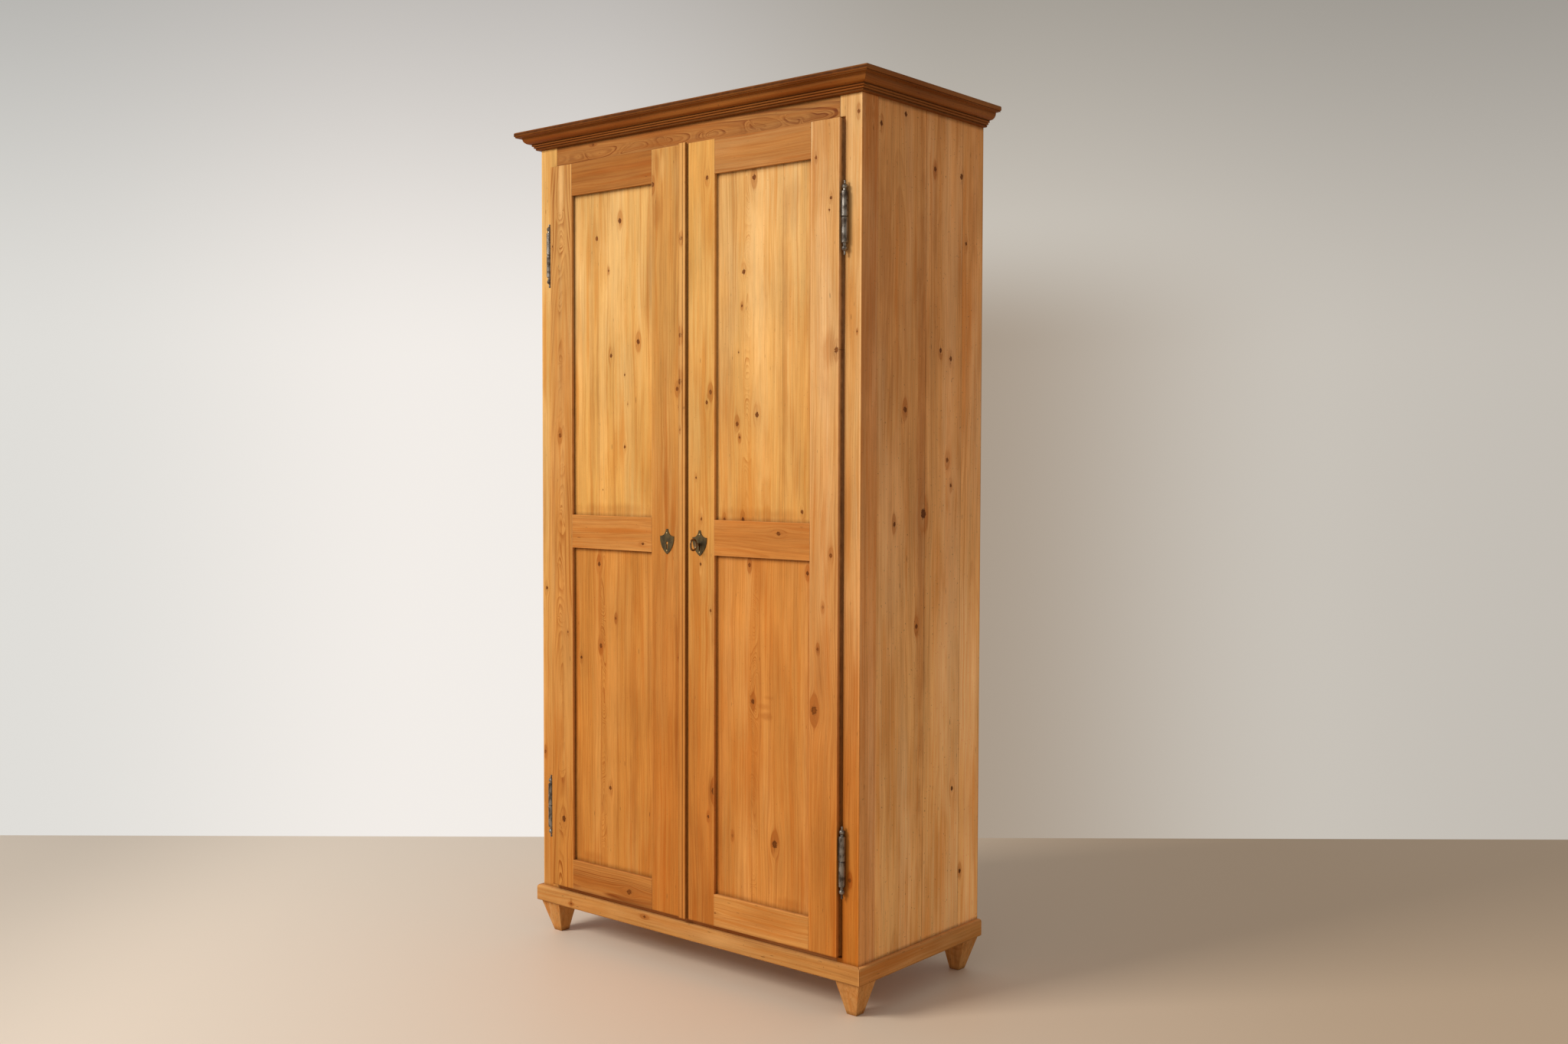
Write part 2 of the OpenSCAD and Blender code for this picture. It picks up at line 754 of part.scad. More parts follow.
module hinge_stile(left) {
  difference() {
    block([0, door_front, door_low], [hinge_stile_w, door_back, door_high]);
    stile_groove(hinge_stile_w, -1);
    stile_mortises(hinge_stile_w, -1, tenon_l);
    for (z = [hinge_low_z(left), hinge_high_z(left)])
      block([-1, axis_y - leaf_t / 2 - fit, z + leaf_margin - fit],
            [leaf_l + fit, axis_y + leaf_t / 2 + fit, z + knuckle_h - leaf_margin + fit]);
  }
}

module meeting_stile(width, w, l) {
  difference() {
    block([width - w, door_front, door_low], [width, door_back, door_high]);
    stile_groove(width - w, 1);
    stile_mortises(width - w, 1, l);
  }
}

// Rail number i, with a groove on each edge that faces a panel and a tenon of length l at the meeting stile
module door_rail(i, width, w, l) {
  u0 = hinge_stile_w;
  u1 = width - w;
  difference() {
    union() {
      block([u0, door_front, rail_low[i]], [u1, door_back, rail_high[i]]);
      block([u0 - tenon_l, door_mid_y - tenon_t / 2, tenon_low[i]],
            [u1 + l, door_mid_y + tenon_t / 2, tenon_high[i]]);
    }
    if (i > 0) rail_groove(u0, u1, rail_low[i] - 1, rail_low[i] + groove_d);
    if (i < 2) rail_groove(u0, u1, rail_high[i] - groove_d, rail_high[i] + 1);
  }
}

module rail_groove(u0, u1, z0, z1) {
  block([u0 - 1, door_mid_y - panel_t / 2 - fit, z0], [u1 + 1, door_mid_y + panel_t / 2 + fit, z1]);
}

// Flat panel above rail i, let into the grooves
module door_panel(i, width, w) {
  reach = groove_d - 1;
  block([hinge_stile_w - reach, door_mid_y - panel_t / 2, rail_high[i] - reach],
        [width - w + reach, door_mid_y + panel_t / 2, rail_low[i + 1] + reach]);
}

module left_door_hinge_stile() {
  color(pine) on_door(true) hinge_stile(true);
}

module left_door_meeting_stile() {
  color(pine) on_door(true) meeting_stile(left_door_w, left_meeting_stile_w, left_meeting_tenon_l);
}

module left_door_top_rail() {
  color(pine) on_door(true) door_rail(2, left_door_w, left_meeting_stile_w, left_meeting_tenon_l);
}

module left_door_middle_rail() {
  color(pine) on_door(true) door_rail(1, left_door_w, left_meeting_stile_w, left_meeting_tenon_l);
}

module left_door_bottom_rail() {
  color(pine) on_door(true) door_rail(0, left_door_w, left_meeting_stile_w, left_meeting_tenon_l);
}

module left_door_upper_panel() {
  color(panel_pine) on_door(true) door_panel(1, left_door_w, left_meeting_stile_w);
}

module left_door_lower_panel() {
  color(panel_pine) on_door(true) door_panel(0, left_door_w, left_meeting_stile_w);
}

module meeting_strip() {
  color(pine) translate([0, 0, door_low])
    rounded_front_board(left_edge_x - strip_w, left_edge_x, door_front - strip_t, door_front,
                        door_high - door_low + 2.5, 1.5);
}

module right_door_hinge_stile() {
  color(pine) on_door(false) hinge_stile(false);
}

// Keyhole through wood or sheet, along Y at the key
module keyhole(y0, y1, r, slot, drop) {
  translate([key_x, y0, key_z]) rotate([-90, 0, 0]) cylinder(r = r, h = y1 - y0, $fn = 40);
  block([key_x - slot / 2, y0, key_z - drop], [key_x + slot / 2, y1, key_z]);
}

module right_door_meeting_stile() {
  color(pine) difference() {
    on_door(false) meeting_stile(right_door_w, right_meeting_stile_w, right_meeting_tenon_l);
    keyhole(door_front - 1, door_back + 1, key_r + 2, 5, bit_r + 1.5);
  }
}

module right_door_top_rail() {
  color(pine) on_door(false) door_rail(2, right_door_w, right_meeting_stile_w, right_meeting_tenon_l);
}

module right_door_middle_rail() {
  color(pine) on_door(false) door_rail(1, right_door_w, right_meeting_stile_w, right_meeting_tenon_l);
}

module right_door_bottom_rail() {
  color(pine) on_door(false) door_rail(0, right_door_w, right_meeting_stile_w, right_meeting_tenon_l);
}

module right_door_upper_panel() {
  color(panel_pine) on_door(false) door_panel(1, right_door_w, right_meeting_stile_w);
}

module right_door_lower_panel() {
  color(panel_pine) on_door(false) door_panel(0, right_door_w, right_meeting_stile_w);
}

// Escutcheons

escutcheon_z = key_z + escutcheon_rise;
shield_r = (pow(escutcheon_w / 2, 2) + pow(escutcheon_h * 0.67, 2)) / escutcheon_w;
shoulder_z = escutcheon_h * 0.17;
left_escutcheon_x = left_edge_x - 60.5;

// Shield with a pointed foot, hollow shoulders and a small pointed top
module shield() {
  side = escutcheon_w / 2;
  intersection() {
    translate([side - shield_r, shoulder_z]) circle(shield_r, $fn = 96);
    translate([shield_r - side, shoulder_z]) circle(shield_r, $fn = 96);
    difference() {
      translate([-side, -escutcheon_h / 2]) square([escutcheon_w, escutcheon_h]);
      for (s = [-1, 1]) translate([s * side * 0.92, escutcheon_h / 2 + 0.6]) circle(side * 0.78, $fn = 64);
    }
  }
}

// Escutcheon on the door face at x, with its keyhole and two pin holes
module escutcheon(x) {
  difference() {
    translate([x, door_front, escutcheon_z]) rotate([90, 0, 0]) linear_extrude(escutcheon_t) shield();
    translate([x - key_x, 0, 0])
      keyhole(door_front - escutcheon_t - 1, door_front + 1, key_r + 0.4, bit_t + 0.6, bit_r + 0.7);
    for (z = pin_heights) translate([x, door_front - escutcheon_t - 1, escutcheon_z + z])
      rotate([-90, 0, 0]) cylinder(r = pin_r + 0.15, h = escutcheon_t + 2, $fn = 24);
  }
}

pin_r = 0.9;
pin_heights = [escutcheon_h * 0.34, -escutcheon_h * 0.36];

// Domed pins that hold an escutcheon
module escutcheon_pins(x) {
  foot = -escutcheon_t + 0.1;
  for (z = pin_heights) translate([x, door_front - escutcheon_t, escutcheon_z + z]) rotate([90, 0, 0])
    rotate_extrude($fn = 24)
      polygon([[0, foot], [pin_r, foot], [pin_r, 0.05], [1.7, 0.05], [1.4, 0.6], [0.7, 1], [0, 1.1]]);
}

module left_escutcheon() {
  color(old_brass) escutcheon(left_escutcheon_x);
}

module left_escutcheon_pins() {
  color(old_brass) escutcheon_pins(left_escutcheon_x);
}

module right_escutcheon() {
  color(old_brass) escutcheon(key_x);
}

module right_escutcheon_pins() {
  color(old_brass) escutcheon_pins(key_x);
}

// Lock

module lock_plate() {
  margin = 5;
  color(steel) difference() {
    block([case_x0, plate_y, case_low - margin],
          [case_x1 + margin - 1, plate_y + lock_sheet, case_high + margin]);
    keyhole(plate_y - 1, plate_y + lock_sheet + 1, key_r + 0.6, 3.6, bit_r + 1);
  }
}

// Box over the works: a window for the bolt, a stud that guides it, a hole for the key's tip
module lock_case() {
  s = lock_sheet;
  color(steel) {
    difference() {
      block([case_x0, case_y, case_low], [case_x1, case_back_y, case_high]);
      block([case_x0 + s, case_y - 1, case_low + s], [case_x1 - s, case_back_y - s, case_high - s]);
      block([case_x0 - 1, bolt_y - fit, bolt_low - fit],
            [case_x0 + s + 1, bolt_y + bolt_t + fit, bolt_low + bolt_h + fit]);
      translate([key_x, case_back_y - s - 1, key_z]) rotate([-90, 0, 0])
        cylinder(r = key_r + run, h = s + 2, $fn = 40);
    }
    translate([stud_x, case_y + 0.3, stud_z]) rotate([-90, 0, 0]) cylinder(r = 2, h = lock_d - s, $fn = 32);
  }
}

stud_x = case_x0 + 12;
stud_z = bolt_low + bolt_h * 0.6;

// Bolt with a slot over the guide stud and a notch that the key's bit turns through
module lock_bolt() {
  notch_mid = key_x + bolt_travel / 2;
  color(steel) difference() {
    block([case_x0, bolt_y, bolt_low], [bolt_tail_x, bolt_y + bolt_t, bolt_low + bolt_h]);
    block([notch_mid - notch_reach, bolt_y - 1, bolt_low - 1],
          [notch_mid + notch_reach, bolt_y + bolt_t + 1, notch_high]);
    for (x = [stud_x, stud_x + bolt_travel]) translate([x, bolt_y - 1, stud_z]) rotate([-90, 0, 0])
      cylinder(r = bolt_slot_r, h = bolt_t + 2, $fn = 32);
    block([stud_x, bolt_y - 1, stud_z - bolt_slot_r],
          [stud_x + bolt_travel, bolt_y + bolt_t + 1, stud_z + bolt_slot_r]);
  }
}

// Box keeper on the back of the left door, open towards the bolt
module bolt_keeper() {
  w = keeper_wall;
  room = 0.8;
  color(steel) difference() {
    block([left_edge_x - 0.5 - keeper_w, plate_y, bolt_low - room - w - 8],
          [left_edge_x - 0.5, bolt_y + bolt_t + room + w, bolt_low + bolt_h + room + w + 8]);
    block([left_edge_x - keeper_w - 2, bolt_y - room, bolt_low - room],
          [left_edge_x + 1, bolt_y + bolt_t + room, bolt_low + bolt_h + room]);
    for (z = [bolt_low - room - w - 9, bolt_low + bolt_h + room + w])
      block([left_edge_x - keeper_w - 2, plate_y + w, z], [left_edge_x + 1, bolt_y + bolt_t + 10, z + 9]);
  }
}

// Key with an oval bow, a collar, a round shank and a warded bit that points down
module key() {
  shank_y = bow_end_y + bow_d - bow_rod_r;
  shank_l = case_back_y + 1 - shank_y;
  bow_y = bow_end_y + bow_d / 2;
  straight = bow_w - bow_d;
  bend_r = bow_d / 2 - bow_rod_r;
  bit_y = bolt_y + 0.5;
  color(steel) {
    for (s = [-1, 1]) translate([key_x, bow_y, key_z + s * straight / 2]) rotate([90, 0, 90])
      rotate([0, 0, s > 0 ? 0 : 180]) rotate_extrude(angle = 180, $fn = 48)
        translate([bend_r, 0]) circle(bow_rod_r, $fn = 24);
    for (s = [-1, 1]) translate([key_x, bow_y + s * bend_r, key_z - straight / 2])
      cylinder(r = bow_rod_r, h = straight, $fn = 24);
    translate([key_x, shank_y, key_z]) rotate([-90, 0, 0]) rotate_extrude($fn = 40) polygon([
      [0, 0], [key_r, 0], [key_r, 1.5], [key_r + 1, 2.5], [key_r + 1, 4], [key_r, 5],
      [key_r, shank_l - 1], [key_r - 1, shank_l], [0, shank_l],
    ]);
    difference() {
      block([key_x - bit_t / 2, bit_y, key_z - bit_r], [key_x + bit_t / 2, bit_y + bit_w, key_z]);
      block([key_x - bit_t, bit_y + bit_w * 0.4, key_z - bit_r - 1],
            [key_x + bit_t, bit_y + bit_w * 0.6, key_z - bit_r + 4]);
    }
  }
}

// Slide bolts of the left door

// Base plate with two bored guides, its middle at height z
module slide_guide(z) {
  difference() {
    union() {
      block([rod_x - guide_plate_w / 2, door_back, z - guide_plate_h / 2],
            [rod_x + guide_plate_w / 2, door_back + lock_sheet, z + guide_plate_h / 2]);
      for (s = [-1, 1])
        block([rod_x - rod_r - 3, door_back, z + s * guide_plate_h * 0.36 - guide_block_h / 2],
              [rod_x + rod_r + 3, rod_y + rod_r + 2.5, z + s * guide_plate_h * 0.36 + guide_block_h / 2]);
    }
    translate([rod_x, rod_y, z - guide_plate_h / 2 - 1])
      cylinder(r = rod_r + run, h = guide_plate_h + 2, $fn = 40);
  }
}

top_guide_z = rod_top_z - 24 - guide_plate_h / 2;
bottom_guide_z = rod_low_z + 24 + guide_plate_h / 2;

module slide_bolt_guides() {
  color(iron) {
    slide_guide(top_guide_z);
    slide_guide(bottom_guide_z);
  }
}

// Rod with a knob, its free end at the origin and its length along +Z
module slide_rod() {
  knob_z = 24 + guide_plate_h / 2;
  rotate_extrude($fn = 40) polygon([
    [0, 0], [rod_r - 1, 0], [rod_r, 1], [rod_r, rod_l - 1], [rod_r - 1, rod_l], [0, rod_l],
  ]);
  translate([0, 0, knob_z]) rotate([-90, 0, 0]) rotate_extrude($fn = 32) polygon([
    [0, 0], [2.5, 0], [2.5, rod_r + 4], [5, rod_r + 6], [5, rod_r + 9], [3, rod_r + 11], [0, rod_r + 11.5],
  ]);
}

module top_slide_bolt() {
  color(iron) translate([rod_x, rod_y, rod_top_z]) mirror([0, 0, 1]) slide_rod();
}

module bottom_slide_bolt() {
  color(iron) translate([rod_x, rod_y, rod_low_z]) slide_rod();
}

left_front_post();
right_front_post();
frieze_rail();
bottom_rail();
left_side_panel();
right_side_panel();
back_boards();
floor_boards();
top_boards();
cornice_front();
cornice_left();
cornice_right();
cornice_glue_blocks();
plinth_front();
plinth_left();
plinth_right();
front_left_foot();
front_right_foot();
rear_left_foot();
rear_right_foot();
rear_foot_blocks();
hat_shelf();
shelf_bearers();
hanging_rail();
rail_sockets();
left_upper_hinge_frame_leaf();
left_lower_hinge_frame_leaf();
right_upper_hinge_frame_leaf();
right_lower_hinge_frame_leaf();
left_door_hinge_stile();
left_door_meeting_stile();
left_door_top_rail();
left_door_middle_rail();
left_door_bottom_rail();
left_door_upper_panel();
left_door_lower_panel();
meeting_strip();
left_escutcheon();
left_escutcheon_pins();
left_upper_hinge_door_leaf();
left_lower_hinge_door_leaf();
bolt_keeper();
slide_bolt_guides();
top_slide_bolt();
bottom_slide_bolt();
right_door_hinge_stile();
right_door_meeting_stile();
right_door_top_rail();
right_door_middle_rail();
right_door_bottom_rail();
right_door_upper_panel();
right_door_lower_panel();
right_escutcheon();
right_escutcheon_pins();
right_upper_hinge_door_leaf();
right_lower_hinge_door_leaf();
lock_plate();
lock_case();
lock_bolt();
key();
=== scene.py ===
import math

import bpy
from mathutils import Matrix, Vector

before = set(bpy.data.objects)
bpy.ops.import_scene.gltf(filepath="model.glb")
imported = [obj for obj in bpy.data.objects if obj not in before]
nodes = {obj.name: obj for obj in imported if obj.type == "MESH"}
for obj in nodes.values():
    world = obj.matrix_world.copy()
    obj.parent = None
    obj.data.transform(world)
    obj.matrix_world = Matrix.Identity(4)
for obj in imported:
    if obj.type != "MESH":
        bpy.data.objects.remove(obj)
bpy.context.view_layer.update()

# The wardrobe in Blender: every CAD node keeps its mesh; the wooden ones get softened arrises
# and a procedural pine, the metal fittings a procedural metal; then come the floor, the backdrop,
# the lamp and the photograph's camera.

IN_TURN = 1e-8  # ties each knot's nodes to the one before, so that a long list fits Cycles' memory


# --- a small language for shader nodes ---------------------------------------------------

class Wire:
    """A value in a node tree that can be added, multiplied and so on."""

    def __init__(self, net, out):
        self.net, self.out = net, out

    def __add__(self, other):
        return self.net.math("ADD", self, other)

    __radd__ = __add__

    def __sub__(self, other):
        return self.net.math("SUBTRACT", self, other)

    def __rsub__(self, other):
        return self.net.math("SUBTRACT", other, self)

    def __mul__(self, other):
        return self.net.math("MULTIPLY", self, other)

    __rmul__ = __mul__

    def __truediv__(self, other):
        return self.net.math("DIVIDE", self, other)

    def __rtruediv__(self, other):
        return self.net.math("DIVIDE", other, self)

    def __pow__(self, other):
        return self.net.math("POWER", self, other)


class Net:
    """A node tree being written."""

    def __init__(self, tree):
        self.tree = tree

    def node(self, kind, **settings):
        """A new node with these settings."""
        made = self.tree.nodes.new(kind)
        for key, value in settings.items():
            setattr(made, key, value)
        return made

    def put(self, socket, value):
        """Links a wire to an input, or sets the input to a number or colour."""
        if isinstance(value, Wire):
            self.tree.links.new(value.out, socket)
        elif isinstance(value, (tuple, list)) and socket.type == "RGBA" and len(value) == 3:
            socket.default_value = (*value, 1)
        else:
            socket.default_value = value

    def math(self, kind, a, b=None):
        """A Math node's result."""
        made = self.node("ShaderNodeMath", operation=kind)
        self.put(made.inputs[0], a)
        if b is not None:
            self.put(made.inputs[1], b)
        return Wire(self, made.outputs[0])

    def step(self, x, low, high):
        """0 below low, 1 above high, smooth between; falling where low is above high."""
        falls = low > high
        made = self.node("ShaderNodeMapRange", interpolation_type="SMOOTHSTEP")
        self.put(made.inputs["Value"], x)
        made.inputs["From Min"].default_value = min(low, high)
        made.inputs["From Max"].default_value = max(low, high)
        made.inputs["To Min"].default_value = 1 if falls else 0
        made.inputs["To Max"].default_value = 0 if falls else 1
        return Wire(self, made.outputs["Result"])

    def axes(self, output):
        """The x, y and z of one of the Texture Coordinate node's outputs."""
        place = self.node("ShaderNodeTexCoord")
        parts = self.node("ShaderNodeSeparateXYZ")
        self.tree.links.new(place.outputs[output], parts.inputs[0])
        return [Wire(self, part) for part in parts.outputs]

    def vector(self, x, y, z):
        """One vector of three values."""
        made = self.node("ShaderNodeCombineXYZ")
        for socket, value in zip(made.inputs, (x, y, z)):
            self.put(socket, value)
        return Wire(self, made.outputs[0])

    def noise(self, x, y, z, detail=2.0):
        """Smooth noise, about 0.5 on average; x, y and z are multiplied for its fineness."""
        made = self.node("ShaderNodeTexNoise")
        made.inputs["Scale"].default_value = 1.0
        made.inputs["Detail"].default_value = detail
        self.put(made.inputs["Vector"], self.vector(x, y, z))
        return Wire(self, made.outputs["Fac"])

    def random(self, x):
        """A number from 0 to 1 that differs for each value of x."""
        made = self.node("ShaderNodeTexWhiteNoise", noise_dimensions="1D")
        self.put(made.inputs["W"], x)
        return Wire(self, made.outputs["Value"])

    def mix(self, factor, a, b, kind="MIX"):
        """Colour a where factor is 0 and b where it is 1."""
        made = self.node("ShaderNodeMix", data_type="RGBA", blend_type=kind)
        self.put(made.inputs["Factor"], factor)
        self.put(made.inputs[6], a)
        self.put(made.inputs[7], b)
        return Wire(self, made.outputs[2])

    def shade(self, colour, factor):
        """The colour times a grey factor."""
        made = self.node("ShaderNodeVectorMath", operation="SCALE")
        self.put(made.inputs[0], colour)
        self.put(made.inputs["Scale"], factor)
        return Wire(self, made.outputs[0])

    def call(self, group, **inputs):
        """A group's outputs by name, for these inputs."""
        made = self.node("ShaderNodeGroup")
        made.node_tree = group
        for key, value in inputs.items():
            self.put(made.inputs[key], value)
        return {o.name: Wire(self, o) for o in made.outputs}


def group(name, inputs, outputs):
    """A new node group: its net and its inputs by name."""
    tree = bpy.data.node_groups.new(name, "ShaderNodeTree")
    for key in inputs:
        kind = "NodeSocketColor" if key.endswith("Colour") else "NodeSocketFloat"
        tree.interface.new_socket(key, in_out="INPUT", socket_type=kind)
    for key in outputs:
        kind = "NodeSocketColor" if key.endswith("Colour") else "NodeSocketFloat"
        tree.interface.new_socket(key, in_out="OUTPUT", socket_type=kind)
    net = Net(tree)
    source = net.node("NodeGroupInput")
    net.sink = net.node("NodeGroupOutput")
    return net, {o.name: Wire(net, o) for o in source.outputs if o.name}


def outputs(net, **values):
    """Ends a group with its outputs and gives its tree."""
    for key, value in values.items():
        net.put(net.sink.inputs[key], value)
    return net.tree


def surface(name):
    """A new material with its net and its shader."""
    material = bpy.data.materials.new(name)
    material.use_nodes = True
    return material, Net(material.node_tree), material.node_tree.nodes["Principled BSDF"]


def emboss(net, shader, strength, relief, height):
    """Relief on a surface: relief is in metres for a height of 1."""
    bump = net.node("ShaderNodeBump")
    bump.inputs["Strength"].default_value = strength
    bump.inputs["Distance"].default_value = relief
    net.put(bump.inputs["Height"], height)
    net.tree.links.new(bump.outputs["Normal"], shader.inputs["Normal"])


# --- pine --------------------------------------------------------------------------------

# What each layer of the pine turns a board's colour into, as factors on it
EARLY = (1.10, 1.12, 1.15)
RIPE = (0.72, 0.50, 0.31)
RIPE_DEEP = (0.42, 0.22, 0.10)
BANDED = (0.90, 0.73, 0.52)
CREAM = (1.12, 1.25, 1.58)
TAN = (0.82, 0.63, 0.42)
PENCIL = (0.60, 0.38, 0.20)
CHALK = (1.20, 1.32, 1.60)
VEIN = (0.64, 0.42, 0.24)
THREAD = (0.78, 0.60, 0.40)
WARM = (0.62, 0.43, 0.27)
LIGHT = (1.22, 1.36, 1.75)
HALO = (0.60, 0.37, 0.19)
# paler where an arris is worn, with a painted highlight on it
RUBBED_AND_LIT = (1.35, 1.42, 1.75)
# and what covers it, as colours
HEART = (0.270, 0.072, 0.008)
HEART_DARK = (0.130, 0.033, 0.004)
KNOT_RIM = (0.066, 0.016, 0.002)
# the colour that dark marks bring: dirt, dark joints and painted shade
SOIL_AND_SHADE = (0.060, 0.018, 0.004)
SPECK = (0.06, 0.028, 0.012)
WOOD_SHEEN = 0.06      # waxed wood's specular level: more of it greys the darks
WOOD_BUMP, WOOD_RELIEF = 0.55, 0.0007      # strength, and metres
METAL_BUMP, METAL_RELIEF = 0.5, 0.00025
NEXT_SEED = 7.31       # a panel's next board starts its noises this much further on
SEAM = (0.0013, 0.42)  # half width and darkness of the line between two boards


def make_knot_group():
    """One knot: how far it pushes the grain aside, its halo, its core and its dark rim."""
    net, i = group("knot", ["U", "W", "AtU", "AtW", "R", "Ink"], ["Push", "Halo", "Core", "Rim"])
    du, aside = i["U"] - i["AtU"], i["W"] - i["AtW"]
    reach = (i["R"] * 1.25) ** 2.0
    along = du * 0.40
    q = reach / net.math("MAXIMUM", along * along + aside * aside, reach)
    wave = net.noise(i["U"] * 380.0, i["W"] * 380.0, i["AtU"] * 50.0, 3.0)
    near = du * 0.84
    t = net.math("SQRT", near * near + aside * aside) / (i["R"] * 0.62) + (wave - 0.5) * 1.7
    rim = net.step(t, 0.45, 0.90) * net.step(t, 1.45, 0.95)
    crack = net.step(net.math("ABSOLUTE", aside + (wave - 0.5) * 0.002), 0.0011, 0.0003)
    crack = crack * net.step(net.math("ABSOLUTE", du) / i["R"], 2.6, 0.6)
    return outputs(net, Push=aside * q, Halo=(q ** 2.6) * i["Ink"],
                   Core=net.math("MAXIMUM", net.step(t, 1.25, 0.85), crack * 0.55) * i["Ink"],
                   Rim=rim * i["Ink"])


def make_stain_group():
    """A soft patch, 1 in the middle and 0 beyond its two radii, with a wandering outline."""
    net, i = group("stain", ["U", "W", "AtU", "AtW", "RU", "RW", "Amount"], ["Value"])
    along, aside = (i["U"] - i["AtU"]) / i["RU"], (i["W"] - i["AtW"]) / i["RW"]
    wave = net.noise(i["U"] * 14.0, i["W"] * 60.0, i["AtU"] * 20.0, 3.0) - 0.5
    far = net.math("SQRT", along * along + aside * aside) + wave * 1.3
    return outputs(net, Value=net.step(far, 1.05, 0.15) * i["Amount"])


